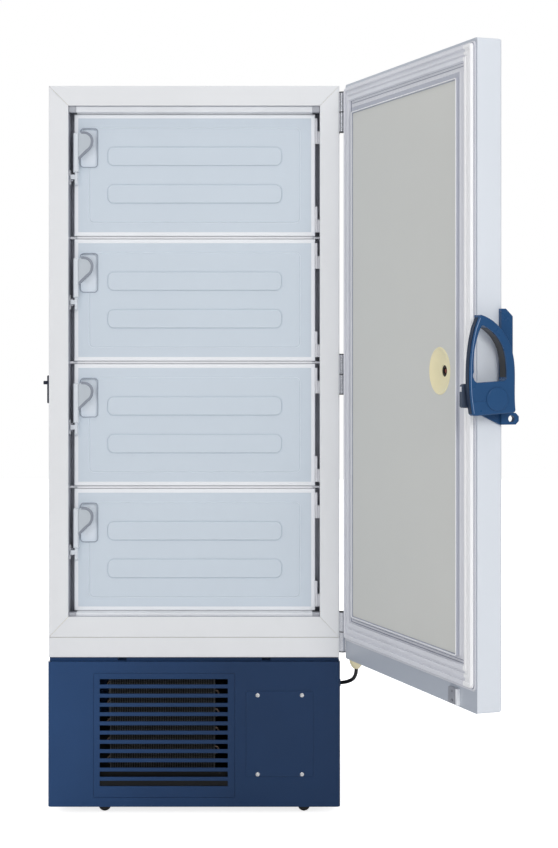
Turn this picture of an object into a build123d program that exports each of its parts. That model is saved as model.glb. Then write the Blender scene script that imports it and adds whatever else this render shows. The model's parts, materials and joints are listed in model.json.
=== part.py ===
from build123d import *
from math import cos, radians, sin
import os

# Upright ultra low temperature freezer, millimetres.
# Origin: floor level under the centre of the cabinet's footprint.
# +X to the right seen from the front, +Y to the back, +Z up.

# Insulated cabinet
cabinet_width = 790.0
cabinet_depth = 790.0
overall_height = 1980.0
cabinet_floor_z = 426.5
case_sheet = 1.5
side_wall = 90.0
back_wall = 95.0
edge_round = 2.0

# Face frame round the door opening
frame_side = 53.0
frame_top = 54.0
frame_plate = 4.0
fascia_height = 53.5
sill_height = 109.9
seam = 0.8

# Chamber and its four compartments
liner_sheet = 1.5
chamber_step = 22.0
compartment_count = 4
compartment_margin_top = 15.0
compartment_margin_bottom = 7.8
shelf_sheet = 2.0
shelf_flange = 14.0
shelf_side_gap = 0.3

# Inner doors
door_recess = 36.0
inner_door_thickness = 36.0
inner_gasket_thickness = 7.7
inner_door_side_gap = 12.0
inner_door_gap = 8.0
inner_edge_width = 11.0
inner_panel_sheet = 2.0
plateau_raise = 1.4
bar_raise = 2.6
bar_height_share = 0.15
bar_offset_share = 0.1543
bar_end_margin = 92.0
emboss_groove = 2.2
emboss_groove_depth = 1.2
pocket_depth = 7.0
inner_hinge_from_end = 45.85
inner_hinge_half = 35.0
inner_knuckle_radius = 3.0
inner_pin_radius = 1.4

# Outer door
gasket_gap = 12.0
door_thickness = 64.0
door_sheet = 1.5
door_drop = 0.5
door_edge_round = 6.0
door_liner_sheet = 3.0
plug_height = 8.0
seal_clearance = 0.3
door_open_angle = 110.3

# Outer door hinges
hinge_out = 8.0
hinge_forward = 6.0
hinge_radius = 8.5
hinge_pin_radius = 4.0
hinge_half = 53.0
hinge_leaf = 3.0
hinge_leaf_reach = 42.0
hinge_low_offset = 70.5
hinge_middle_offset = 6.0
hinge_high_offset = 73.0
running_clearance = 0.05
axial_gap = 0.3

# Door handle
handle_below_middle = 53.0
handle_from_flange = 25.0
handle_standoff = 30.0
handle_plate = 20.0
handle_hub_radius = 25.5
handle_axle_radius = 8.0
handle_throw = 30.0
cam_plate = 14.0
cam_skin = 3.5
striker_pin_radius = 5.0
striker_pin_reach = 66.0
striker_pin_angle = 160.0
striker_plate = 5.4

# Base and machine compartment
base_cover_out = 5.0
base_cover_side_out = 2.0
base_cover_drop = 11.5
base_cover_bottom_z = 21.0
base_sheet = 1.5
base_corner_round = 10.0
pan_z = 97.0
pan_sheet = 2.5
base_rail_set_back = 8.0
base_rail = 30.0
post_width = 40.0
post_wall = 3.0

# Intake grille and service plate in the base cover
grille_left_margin = 123.8
grille_right_gap = 30.2
grille_low_margin = 25.3
grille_high_margin = 30.6
slot_left_margin = 16.8
slot_right_margin = 19.2
slot_height = 15.0
slot_pitch = 25.1
first_slot_drop = 23.7
slot_low_margin = 16.0
service_width = 182.5
service_right_margin = 73.3
service_low_margin = 82.4
service_high_margin = 79.4
screw_head_radius = 6.0

# Castors
wheel_radius = 36.0
wheel_width = 30.0
castor_trail = 30.0
castor_left_margin = 149.0
castor_right_margin = 96.0
castor_end_margin = 71.0
castor_plate = 5.0

# Door cable, as a route at the rest pose
cable_radius = 5.0
gland_height = 26.0
gland_radius = 18.5
gland_in = 20.0
gland_from_flange = 23.0
cable_grommet_radius = 10.0

half_width = cabinet_width / 2
front_y = -cabinet_depth / 2
rear_y = cabinet_depth / 2
opening_half = half_width - frame_side
opening_top_z = overall_height - frame_top
chamber_half = half_width - side_wall
chamber_rear_y = rear_y - back_wall
inner_front_y = front_y + door_recess
inner_back_y = inner_front_y + inner_door_thickness
seat_y = inner_back_y + inner_gasket_thickness + seal_clearance
opening_bottom_z = cabinet_floor_z + sill_height
fascia_top_z = cabinet_floor_z + fascia_height
compartments_top_z = opening_top_z - compartment_margin_top
compartments_bottom_z = opening_bottom_z + compartment_margin_bottom
compartment_pitch = (compartments_top_z - compartments_bottom_z) / compartment_count
chamber_top_z = compartments_top_z - chamber_step
chamber_bottom_z = compartments_bottom_z + chamber_step
inner_half = opening_half - inner_door_side_gap
inner_door_height = compartment_pitch - inner_door_gap
flange_y = front_y - gasket_gap
skin_y = flange_y - door_thickness
hinge_x = half_width + hinge_out
hinge_y = front_y - hinge_forward
inner_hinge_x = inner_half + inner_knuckle_radius + 0.4
inner_hinge_y = inner_front_y + 2.5
base_front_y = front_y - base_cover_out
base_half = half_width + base_cover_side_out
rail_front_y = front_y + base_rail_set_back
door_floor_z = cabinet_floor_z - door_drop
door_middle_z = (door_floor_z + overall_height) / 2
hinge_low_z = cabinet_floor_z + hinge_low_offset
hinge_high_z = overall_height - hinge_high_offset
hinge_mid_heights = (hinge_low_z, (hinge_low_z + hinge_high_z) / 2 - hinge_middle_offset, hinge_high_z)
handle_z = door_middle_z - handle_below_middle
base_cover_top_z = cabinet_floor_z - base_cover_drop
service_right = base_half - service_right_margin
service_left = service_right - service_width
service_bottom_z = base_cover_bottom_z + service_low_margin
service_top_z = base_cover_top_z - service_high_margin
service_screw_x = (service_left + 31.7, service_right - 30.4)
service_screw_z = (service_bottom_z + 6.1, service_top_z - 11.5)
grille_left = -base_half + grille_left_margin
grille_right = service_left - grille_right_gap
grille_bottom_z = base_cover_bottom_z + grille_low_margin
grille_top_z = base_cover_top_z - grille_high_margin
slot_left = grille_left + slot_left_margin
slot_right = grille_right - slot_right_margin
first_slot_z = grille_top_z - first_slot_drop
slot_count = int((first_slot_z - grille_bottom_z - slot_low_margin) / slot_pitch) + 1
castor_left_x = -half_width + castor_left_margin
castor_right_x = half_width - castor_right_margin
castor_y = cabinet_depth / 2 - castor_end_margin
divider_heights = [
    compartments_top_z - compartment_pitch * step
    for step in range(1, compartment_count)
]
inner_door_centres = [
    compartments_top_z - compartment_pitch * (step + 0.5)
    for step in range(compartment_count)
]


def block(x, y, z):
    # A box given as low and high values along each axis.
    centre = Pos((x[0] + x[1]) / 2, (y[0] + y[1]) / 2, (z[0] + z[1]) / 2)
    return centre * Box(x[1] - x[0], y[1] - y[0], z[1] - z[0])


def rod_x(radius, x, y, z):
    # A cylinder along X between two x values.
    return Pos((x[0] + x[1]) / 2, y, z) * Rot(0, 90, 0) * Cylinder(radius, x[1] - x[0])


def rod_y(radius, x, y, z):
    # A cylinder along Y between two y values.
    return Pos(x, (y[0] + y[1]) / 2, z) * Rot(90, 0, 0) * Cylinder(radius, y[1] - y[0])


def rod_z(radius, x, y, z):
    # A cylinder along Z between two z values.
    return Pos(x, y, (z[0] + z[1]) / 2) * Cylinder(radius, z[1] - z[0])


def plate_xz(outline, y):
    # A flat outline in X and Z, as wires, made into a plate between two y values.
    face = make_face(outline)
    plane = Plane((0, y[0], 0), x_dir=(1, 0, 0), z_dir=(0, -1, 0))
    return extrude(plane * face, amount=-(y[1] - y[0]))


def rounded_plate(x, y, z, radius):
    # A plate facing -Y with rounded corners.
    width, height = x[1] - x[0], z[1] - z[0]
    plane = Plane(((x[0] + x[1]) / 2, y[0], (z[0] + z[1]) / 2), x_dir=(1, 0, 0), z_dir=(0, -1, 0))
    return extrude(plane * RectangleRounded(width, height, radius), amount=-(y[1] - y[0]))


def edges_along(part, axis):
    return part.edges().filter_by(axis)


def swing(part):
    # From the closed door to the opening angle of the rest pose.
    return part.rotate(Axis((hinge_x, hinge_y, 0), (0, 0, 1)), door_open_angle)


def swung_point(x, y):
    # Where a point of the closed door stands at the rest pose.
    turn = radians(door_open_angle)
    across, along = x - hinge_x, y - hinge_y
    return (
        hinge_x + across * cos(turn) - along * sin(turn),
        hinge_y + across * sin(turn) + along * cos(turn),
    )


def solids_of(shape):
    if isinstance(shape, (list, tuple)):
        return [solid for item in shape for solid in solids_of(item)]
    return list(shape.solids())


def save(name, *shapes):
    solids = solids_of(list(shapes))
    export_step(Compound(children=solids) if len(solids) > 1 else solids[0], f"parts/{name}.step")


# Cabinet

def outer_case():
    y = (front_y + frame_plate, rear_y)
    outer = block((-half_width, half_width), y, (cabinet_floor_z, overall_height))
    top_edges = edges_along(outer, Axis.Y).sort_by(Axis.Z)[-2:]
    outer = fillet(top_edges, edge_round)
    inner = block(
        (-half_width + case_sheet, half_width - case_sheet),
        y,
        (cabinet_floor_z + case_sheet, overall_height - case_sheet),
    )
    return outer - inner


port_x = -chamber_half + 35.0
port_z = inner_door_centres[1]
port_bore = 12.5
port_wall = 3.5
port_collar = 9.0
port_collar_thickness = 4.0


def port_hole(y):
    return rod_y(port_bore + port_wall, port_x, y, port_z)


def back_panel():
    y = (rear_y - case_sheet, rear_y)
    x = (-half_width + case_sheet, half_width - case_sheet)
    z = (cabinet_floor_z + case_sheet, overall_height - case_sheet)
    panel = block(x, y, z)
    rib_depth, rib_height, rib_margin = 6.0, 36.0, 70.0
    for centre in divider_heights:
        rib = rounded_plate(
            (x[0] + rib_margin, x[1] - rib_margin),
            (rear_y, rear_y + rib_depth),
            (centre - rib_height / 2, centre + rib_height / 2),
            rib_height / 2 - 1,
        )
        rib = chamfer(rib.faces().sort_by(Axis.Y)[-1].edges(), rib_depth * 0.8)
        panel += rib
    return panel - port_hole((rear_y - case_sheet, rear_y + rib_depth))


def access_port():
    # A lined passage for sensor leads, open at both ends.
    outer = port_hole((chamber_rear_y, rear_y))
    outer += rod_y(
        port_bore + port_wall + port_collar, port_x, (rear_y, rear_y + port_collar_thickness), port_z
    )
    return outer - rod_y(port_bore, port_x, (chamber_rear_y, rear_y + port_collar_thickness), port_z)


def frame_piece(corners):
    outline = Polyline(*corners, close=True)
    piece = plate_xz(outline, (front_y, front_y + frame_plate))
    return piece


def face_frame():
    # Four mitred pieces with a fine open joint at each mitre.
    low, high = fascia_top_z + seam, overall_height
    cut = seam / 2
    outer, inner = half_width, opening_half
    top = [(-outer + cut, high), (outer - cut, high), (inner - cut, opening_top_z), (-inner + cut, opening_top_z)]
    bottom = [(-inner + cut, opening_bottom_z), (inner - cut, opening_bottom_z), (outer - cut, low), (-outer + cut, low)]
    right = [
        (inner, opening_bottom_z + cut),
        (inner, opening_top_z - cut),
        (outer, high - cut),
        (outer, low + cut),
    ]
    left = [(-x, z) for x, z in reversed(right)]
    pieces = []
    for corners in (top, bottom, right, left):
        piece = frame_piece(corners)
        front = piece.faces().sort_by(Axis.Y)[0]
        long_edges = front.edges().sort_by(SortBy.LENGTH)[-2:]
        pieces.append(fillet(long_edges, edge_round))
    return pieces


def front_fascia():
    strip = block(
        (-half_width, half_width), (front_y, front_y + frame_plate), (cabinet_floor_z, fascia_top_z)
    )
    return fillet(strip.faces().sort_by(Axis.Y)[0].edges().filter_by(Axis.X), edge_round / 2)


def inner_liner():
    sheet = liner_sheet
    chamber_x = (-chamber_half, chamber_half)
    chamber_z = (chamber_bottom_z, chamber_top_z)
    collar_y = (front_y + frame_plate, seat_y + sheet)
    opening_z = (opening_bottom_z, opening_top_z)
    body = block(
        (-chamber_half - sheet, chamber_half + sheet),
        (seat_y, chamber_rear_y + sheet),
        (chamber_bottom_z - sheet, chamber_top_z + sheet),
    )
    body += block(
        (-opening_half - sheet, opening_half + sheet),
        collar_y,
        (opening_bottom_z - sheet, opening_top_z + sheet),
    )
    body -= block((-opening_half, opening_half), (collar_y[0], seat_y), opening_z)
    body -= block(chamber_x, (seat_y, chamber_rear_y), chamber_z)
    return body - port_hole((chamber_rear_y, chamber_rear_y + sheet))


def foam_body():
    # Foamed-in insulation between the case and the liner, in boards that meet edge to edge.
    sheet = liner_sheet
    case_half = half_width - case_sheet
    wide, narrow = opening_half + sheet, chamber_half + sheet
    front, back = front_y + frame_plate, rear_y - case_sheet
    chamber_back = chamber_rear_y + sheet
    low, high = cabinet_floor_z + case_sheet, overall_height - case_sheet
    sill, head = opening_bottom_z - sheet, opening_top_z + sheet
    deep = (front, chamber_back)
    step_y = (seat_y + sheet, chamber_back)
    boards = [
        block((-case_half, case_half), (chamber_back, back), (low, high)) - port_hole((chamber_rear_y, rear_y)),
        block((-wide, wide), deep, (head, high)),
        block((-wide, wide), deep, (low, sill)),
        block((-narrow, narrow), step_y, (chamber_top_z + sheet, head)),
        block((-narrow, narrow), step_y, (sill, chamber_bottom_z - sheet)),
    ]
    for side in (-1, 1):
        boards.append(block(sorted((side * wide, side * case_half)), deep, (low, high)))
        boards.append(block(sorted((side * narrow, side * wide)), step_y, (sill, head)))
    return boards


strip_front = 10.0
strip_depth = 60.0
strip_top_height = 16.5
strip_bottom_height = 9.6
strip_corner = 20.0


def breaker_strips():
    # Top and bottom strips of the opening with a moulded block in each corner.
    y = (front_y + strip_front, front_y + strip_front + strip_depth)
    corner_y = (y[0] - 2, y[0] + strip_corner)
    reach = opening_half - strip_corner
    pieces = []
    for z in (
        (opening_bottom_z, opening_bottom_z + strip_bottom_height),
        (opening_top_z - strip_top_height, opening_top_z),
    ):
        strip = block((-reach, reach), y, z)
        front = strip.faces().sort_by(Axis.Y)[0]
        pieces.append(fillet(front.edges().filter_by(Axis.X), 2.5))
        for side in (-1, 1):
            x = sorted((side * reach, side * opening_half))
            corner = block(x, corner_y, z)
            pieces.append(fillet(corner.faces().sort_by(Axis.Y)[0].edges(), 2.0))
    return pieces


rail_land = 22.0
rail_land_thickness = 5.0
rail_fin = 6.0
rail_fin_depth = 34.0


def divider_rails():
    # A thin fin between two inner doors, on a wide land for their gaskets.
    rails = []
    for height in divider_heights:
        fin = block(
            (-opening_half, opening_half),
            (seat_y - rail_fin_depth, seat_y),
            (height - rail_fin / 2, height + rail_fin / 2),
        )
        fin = fillet(fin.faces().sort_by(Axis.Y)[0].edges().filter_by(Axis.X), 1.5)
        land = block(
            (-chamber_half, chamber_half),
            (seat_y, seat_y + rail_land_thickness),
            (height - rail_land, height + rail_land),
        )
        rails.append(fin + land)
    return rails


ledge_width = 12.0
ledge_sheet = 2.0
ledge_inset = 60.0


def shelves():
    # Folded steel shelves on a ledge at each side wall.
    pieces = []
    half = chamber_half - shelf_side_gap
    y = (seat_y + rail_land_thickness + 1, chamber_rear_y - 3)
    for height in divider_heights:
        shelf = block((-half, half), y, (height - shelf_sheet, height))
        for edge in (
            (y[0], y[0] + shelf_sheet),
            (y[1] - shelf_sheet, y[1]),
        ):
            shelf += block(
                (-half + ledge_width + 4, half - ledge_width - 4), edge, (height - shelf_flange, height)
            )
        pieces.append(shelf)
        for side in (-1, 1):
            wall = side * chamber_half
            top = height - shelf_sheet
            ledge_y = (y[0] + ledge_inset, y[1] - ledge_inset)
            flat = block(sorted((wall, wall - side * ledge_width)), ledge_y, (top - ledge_sheet, top))
            drop = block(sorted((wall, wall - side * ledge_sheet)), ledge_y, (top - ledge_width, top))
            pieces.append(flat + drop)
    return pieces


# Inner doors

inner_door_reach = inner_door_height / 2
inner_hinge_offset = inner_door_reach - inner_hinge_from_end
bar_height = inner_door_height * bar_height_share
bar_offset = inner_door_height * bar_offset_share
bar_length = 2 * (inner_half - bar_end_margin)
pull_left = -inner_half - 0.5
pull_spine_right = -inner_half + 13.5
pull_fin_right = -inner_half + 52.5
pull_depth = 22.0
pull_top = inner_door_reach - 51.15
pull_fin_low = inner_door_reach - 123.85
pull_low = inner_door_reach - 160.55
pull_foot_drop = 23.0
tongue_z = inner_door_reach - 172.85
tongue_thickness = 5.0
tongue_left = -inner_half - 8.5
roller_radius = 4.0
roller_offset = 7.0
pocket_x = (-inner_half + 18.5, -inner_half + 63.7)
pocket_z = (inner_door_reach - 144.25, inner_door_reach - 40.15)
pocket_corner = 8.0


def emboss(x, z, y_low, rise, radius):
    # A raised rounded field standing on a surface, and the fine groove pressed round its foot.
    field = rounded_plate(x, (y_low - rise, y_low), z, radius)
    field = chamfer(field.faces().sort_by(Axis.Y)[0].edges(), rise * 0.7)
    groove_y = (y_low, y_low + emboss_groove_depth)
    wide = emboss_groove
    groove = rounded_plate((x[0] - wide, x[1] + wide), groove_y, (z[0] - wide, z[1] + wide), radius + wide)
    return field, groove - rounded_plate(x, groove_y, z, radius)


def inner_door_panel(centre):
    # Pressed front sheet with a raised field, two raised bars and a finger pocket, and the back sheet.
    half = inner_half - inner_edge_width
    low = centre - inner_door_reach + inner_edge_width
    high = centre + inner_door_reach - inner_edge_width
    front = block((-half, half), (inner_front_y, inner_front_y + inner_panel_sheet), (low, high))
    field_inset = 31.0
    field, groove = emboss(
        (-half + field_inset, half - field_inset),
        (low + field_inset - 4, high - field_inset + 4),
        inner_front_y,
        plateau_raise,
        12.0,
    )
    front = front - groove + field
    surface = inner_front_y - plateau_raise
    for side in (-1, 1):
        z = centre + side * bar_offset
        bar, groove = emboss(
            (-bar_length / 2, bar_length / 2), (z - bar_height / 2, z + bar_height / 2), surface, bar_raise, 16.0
        )
        front = front - groove + bar
    z = (centre + pocket_z[0], centre + pocket_z[1])
    wall = inner_panel_sheet
    rim = rounded_plate(
        (pocket_x[0] - wall, pocket_x[1] + wall),
        (surface - 1.2, inner_front_y + pocket_depth + wall),
        (z[0] - wall, z[1] + wall),
        pocket_corner + wall,
    )
    cavity = rounded_plate(pocket_x, (surface - 1.2, inner_front_y + pocket_depth), z, pocket_corner)
    front = front + rim - cavity
    back = block((-half, half), (inner_back_y - inner_panel_sheet, inner_back_y), (low, high))
    return [front, back]


def mitred_bars(frame, x, z, width, y):
    # The four sides of a rectangular ring, cut at 45 degrees in its corners.
    (left, right), (low, high) = x, z
    sides = [
        [(left, high), (right, high), (right - width, high - width), (left + width, high - width)],
        [(left + width, low + width), (right - width, low + width), (right, low), (left, low)],
        [(left, low), (left, high), (left + width, high - width), (left + width, low + width)],
        [(right - width, low + width), (right - width, high - width), (right, high), (right, low)],
    ]
    return [frame & plate_xz(Polyline(*corners, close=True), y) for corners in sides]


def inner_door_core(centre):
    # Rigid foam board of the door, in pieces round the finger pocket.
    half = inner_half - inner_edge_width
    low = centre - inner_door_reach + inner_edge_width
    high = centre + inner_door_reach - inner_edge_width
    front, back = inner_front_y + inner_panel_sheet, inner_back_y - inner_panel_sheet
    wall = inner_panel_sheet
    floor = inner_front_y + pocket_depth + wall
    left, right = pocket_x[0] - wall, pocket_x[1] + wall
    sill, head = centre + pocket_z[0] - wall, centre + pocket_z[1] + wall
    return [
        block((-half, half), (floor, back), (low, high)),
        block((right, half), (front, floor), (low, high)),
        block((-half, left), (front, floor), (low, high)),
        block((left, right), (front, floor), (head, high)),
        block((left, right), (front, floor), (low, sill)),
    ]


def inner_door_frame(centre):
    # Mitred edge frame, foam core, gasket, pull with its catch tongue, and hinge knuckles.
    low, high = centre - inner_door_reach, centre + inner_door_reach
    half = inner_half
    width = inner_edge_width
    y = (inner_front_y, inner_back_y)
    hole = block((-half + width, half - width), y, (low + width, high - width))
    frame = block((-half, half), y, (low, high))
    frame = fillet(frame.faces().sort_by(Axis.Y)[0].edges(), 3.0) - hole
    bars = mitred_bars(frame, (-half, half), (low, high), width, y)
    seal_inset, seal_width = 2.0, 14.0
    seal_y = (inner_back_y, inner_back_y + inner_gasket_thickness)
    seal_x, seal_z = (-half + seal_inset, half - seal_inset), (low + seal_inset, high - seal_inset)
    edge = seal_inset + seal_width
    seal = block(seal_x, seal_y, seal_z)
    seal = fillet(seal.faces().sort_by(Axis.Y)[-1].edges(), 3.0)
    seal -= block((-half + edge, half - edge), seal_y, (low + edge, high - edge))
    seals = mitred_bars(seal, seal_x, seal_z, seal_width, seal_y)
    return bars + inner_door_core(centre) + seals + inner_pull(centre) + inner_knuckles(centre)


def inner_pull(centre):
    # D-shaped finger pull on a spine, with the tongue that enters the roller catch.
    front = inner_front_y - pull_depth
    spine = block(
        (pull_left, pull_spine_right), (front, inner_front_y), (centre + pull_low, centre + pull_top - 2)
    )
    spine = fillet(spine.faces().sort_by(Axis.Y)[0].edges(), 5.0)
    fin_y = (front + 4, front + 9.5)
    start, end = pull_spine_right, pull_fin_right
    top, low = centre + pull_top, centre + pull_fin_low
    outline = [
        Line((start, low), (start, top - 4)),
        Line((start, top - 4), (start + 5, top)),
        Line((start + 5, top), (end - 22, top)),
        ThreePointArc((end - 22, top), (end - 5.5, top - 7.5), (end, top - 24)),
        ThreePointArc((end, top - 24), (end - 4, top - 38), (end - 14, top - 48)),
        Line((end - 14, top - 48), (start, low)),
    ]
    fin = plate_xz(outline, fin_y)
    fin = fillet(fin.faces().sort_by(Axis.Y)[0].edges(), 2.0)
    arm_y = (front + 6, front + 14)
    z = centre + tongue_z
    foot = block(
        (pull_left + 4, pull_spine_right - 3), (front + 6, inner_front_y), (z - pull_foot_drop, centre + pull_low)
    )
    foot = chamfer(foot.faces().sort_by(Axis.Z)[0].edges().filter_by(Axis.X), 5.0)
    arm = block((tongue_left, pull_left + 4), arm_y, (z - 6, z + 6))
    tongue = block(
        (tongue_left, tongue_left + 5.5),
        (arm_y[1], inner_front_y + 15),
        (z - tongue_thickness / 2, z + tongue_thickness / 2),
    )
    tongue = chamfer(tongue.faces().sort_by(Axis.Y)[-1].edges().filter_by(Axis.X), 1.8)
    return [spine, fin, foot, arm + tongue]


def inner_hinge_spans(centre):
    # Height of each hinge's middle: the door's knuckle is above it, the cabinet's below.
    return [centre + side * inner_hinge_offset for side in (-1, 1)]


def inner_knuckles(centre):
    halves = []
    for middle in inner_hinge_spans(centre):
        z = (middle + axial_gap / 2, middle + inner_hinge_half)
        knuckle = rod_z(inner_knuckle_radius, inner_hinge_x, inner_hinge_y, z)
        leaf = block((inner_half, inner_half + 1.4), (inner_hinge_y, inner_back_y - 9), z)
        bore = rod_z(inner_pin_radius + running_clearance, inner_hinge_x, inner_hinge_y, (z[0], z[1] - 4))
        halves.append(knuckle + leaf - bore)
    return halves


def inner_hinge_leaves():
    # Fixed leaves on the right wall of the opening, each with the pin that carries a door's knuckle.
    leaves = []
    for centre in inner_door_centres:
        for middle in inner_hinge_spans(centre):
            z = (middle - inner_hinge_half, middle - axial_gap / 2)
            leaf = rod_z(inner_knuckle_radius, inner_hinge_x, inner_hinge_y, z)
            leaf += rod_z(
                inner_pin_radius, inner_hinge_x, inner_hinge_y, (z[0], middle + inner_hinge_half - 5)
            )
            leaf += block((inner_hinge_x, opening_half), (inner_hinge_y - 1.4, inner_hinge_y + 1.4), z)
            leaf += block((opening_half - 1.6, opening_half), (inner_hinge_y - 1.4, inner_back_y - 9), z)
            leaves.append(leaf)
    return leaves


def inner_strikers():
    # Double roller catches on the left wall of the opening.
    pieces = []
    y = inner_front_y + 7
    for centre in inner_door_centres:
        z = centre + tongue_z
        wall = -opening_half
        base = block((wall, wall + 1.8), (y - 11, y + 14), (z - 20, z + 20))
        base = fillet(edges_along(base, Axis.X), 4.0)
        for side in (-1, 1):
            height = z + side * roller_offset
            base += rod_x(1.5, (wall + 1.8, wall + 9.3), y, height)
            roller = rod_x(roller_radius, (wall + 2.1, wall + 8.8), y, height)
            roller -= rod_x(1.5 + running_clearance, (wall + 2.1, wall + 8.8), y, height)
            pieces.append(roller)
        pieces.append(base)
    return pieces


# Outer door, drawn closed

door_flange = 26.0
door_strip_top_z = cabinet_floor_z + 49.5
liner_margin = 7.0
plug_gap = 4.0
plug_step = 5.0
plate_side_margin = 82.0
plate_low_z = opening_bottom_z + 15.6
plate_high_z = opening_top_z - 33.0
plate_rim = 5.0
plate_rim_proud = 3.0
plate_sheet = 2.0
port_dish_x = -half_width + plate_side_margin + 90.0
port_dish_z = door_middle_z + 9.0
port_dish_radius = 57.0
port_dish_depth = 12.5


def door_box(inset, y, low=door_floor_z, high=overall_height):
    return block((-half_width + inset, half_width - inset), y, (low + inset, high - inset))


def rounded_door(inset, y):
    # The door's block with its front and corner edges rounded.
    body = door_box(inset, y)
    rounded = body.faces().sort_by(Axis.Y)[0].edges() + edges_along(body, Axis.Y)
    return fillet(rounded, door_edge_round - inset)


def dish_well(extra):
    # The space that the relief port takes through the inner plate, liner and foam.
    outer = rod_y(port_dish_radius - 4 + extra, port_dish_x, (flange_y - 14, inner_front_y), port_dish_z)
    return outer + rod_y(24 + extra, port_dish_x, (flange_y - 46, flange_y), port_dish_z)


def door_shell():
    shell = rounded_door(0, (skin_y, flange_y))
    shell -= rounded_door(door_sheet, (skin_y + door_sheet, flange_y - door_sheet))
    window = block(
        (-half_width + door_flange, half_width - door_flange),
        (flange_y - door_sheet, flange_y),
        (door_strip_top_z + 12, overall_height - door_flange),
    )
    return shell - window


def door_foam():
    foam = rounded_door(door_sheet, (skin_y + door_sheet, flange_y - door_sheet))
    foam += block(
        (-half_width + door_flange, half_width - door_flange),
        (flange_y - door_sheet, flange_y),
        (door_strip_top_z + 12, overall_height - door_flange),
    )
    return foam - dish_well(0)


def ring_xz(x_out, z_out, x_in, z_in, y, radius):
    # A rectangular frame facing +Y with rounded corners.
    outer = rounded_plate((-x_out, x_out), y, z_out, radius)
    return outer - rounded_plate((-x_in, x_in), y, z_in, max(radius - (x_out - x_in), 1.0))


def door_liner():
    # Moulded inner lining: a flat border for the seal and a stepped plug that enters the opening.
    back = flange_y + door_liner_sheet
    liner = rounded_plate(
        (-half_width + liner_margin, half_width - liner_margin),
        (flange_y, back),
        (door_strip_top_z, overall_height - liner_margin),
        10.0,
    )
    half, low, high = opening_half - plug_gap, opening_bottom_z + plug_gap, opening_top_z - plug_gap
    tread = plug_height / 2
    for step in range(2):
        inset = step * (plug_step + tread)
        y = (back + step * tread, back + (step + 1) * tread)
        tier = block((-half + inset, half - inset), y, (low + inset, high - inset))
        liner += chamfer(tier.faces().sort_by(Axis.Y)[-1].edges(), tread * 0.9)
    top = back + plug_height
    plate_half = half_width - plate_side_margin
    rim = ring_xz(
        plate_half + plate_rim,
        (plate_low_z - plate_rim, plate_high_z + plate_rim),
        plate_half + 0.3,
        (plate_low_z - 0.3, plate_high_z + 0.3),
        (top, top + plate_sheet + plate_rim_proud),
        plate_rim,
    )
    rim = fillet(rim.faces().sort_by(Axis.Y)[-1].edges(), 1.6)
    return liner + rim - dish_well(0)


def door_inner_plate():
    top = flange_y + door_liner_sheet + plug_height
    half = half_width - plate_side_margin
    plate = block((-half, half), (top, top + plate_sheet), (plate_low_z, plate_high_z))
    return plate - dish_well(0)


def door_gasket():
    # Magnetic seal: a base strip with three lips round the whole door.
    seat = flange_y + door_liner_sheet
    reach = front_y - seal_clearance
    base_top = seat + 3.0
    inset_out, inset_in = 11.0, frame_side - 4.0
    low_out = door_strip_top_z + 6
    low_in = opening_bottom_z - 4.0
    high_out = overall_height - inset_out
    high_in = opening_top_z + 4.0

    def ring(share_out, share_in, y, round_top):
        # Shares run from 0 at the outer edge of the strip to 1 at its inner edge.
        def corner(share):
            x = half_width - inset_out + (inset_out - inset_in) * share
            return x, (low_out + (low_in - low_out) * share, high_out + (high_in - high_out) * share)

        x_out, z_out = corner(share_out)
        x_in, z_in = corner(share_in)
        part = ring_xz(x_out, z_out, x_in, z_in, y, 9.0 * (1 - share_out) + 1.5)
        if round_top:
            part = fillet(part.faces().sort_by(Axis.Y)[-1].edges(), round_top)
        return part

    gasket = ring(0.0, 1.0, (seat, base_top), 0)
    for share_out, share_in, height in ((0.03, 0.25, reach), (0.4, 0.6, reach - 2.2), (0.72, 0.97, reach)):
        gasket += ring(share_out, share_in, (base_top, height), 2.4)
    return gasket


def relief_port():
    # Concave dish round a valve stem that lets the chamber breathe.
    surface = flange_y + door_liner_sheet + plug_height + plate_sheet
    lip = 1.6
    radius = port_dish_radius
    well = radius - 4
    profile = [
        Line((14.0, -port_dish_depth), (14.0, -port_dish_depth - 26)),
        Line((14.0, -port_dish_depth - 26), (20.0, -port_dish_depth - 26)),
        Line((20.0, -port_dish_depth - 26), (20.0, -port_dish_depth - 3)),
        ThreePointArc((20.0, -port_dish_depth - 3), (38.0, -port_dish_depth + 0.5), (well - 1, 0)),
        Line((well - 1, 0), (radius, 0)),
        ThreePointArc((radius, 0), (radius - 0.9, lip - 0.3), (radius - 3, lip)),
        ThreePointArc((radius - 3, lip), (36.0, -port_dish_depth + 3.6), (14.0, -port_dish_depth)),
    ]
    plane = Plane((port_dish_x, surface, port_dish_z), x_dir=(1, 0, 0), z_dir=(0, 0, 1))
    face = plane * make_face(profile)
    dish = revolve(face, Axis((port_dish_x, surface, port_dish_z), (0, 1, 0)))
    return dish


def relief_valve():
    surface = flange_y + door_liner_sheet + plug_height + plate_sheet
    inner = surface - port_dish_depth
    sleeve = rod_y(14.0, port_dish_x, (inner - 24, inner - 1.5), port_dish_z)
    sleeve -= rod_y(8.0, port_dish_x, (inner - 12, inner - 1.5), port_dish_z)
    stem = rod_y(5.5, port_dish_x, (inner - 12, inner - 3), port_dish_z)
    return [sleeve, fillet(stem.faces().sort_by(Axis.Y)[-1].edges(), 2.0)]


bracket_x = (-half_width + 88.0, -half_width + 140.0)
bracket_z = (door_floor_z + 3.0, door_floor_z + 42.0)
bracket_thickness = 6.5


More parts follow.
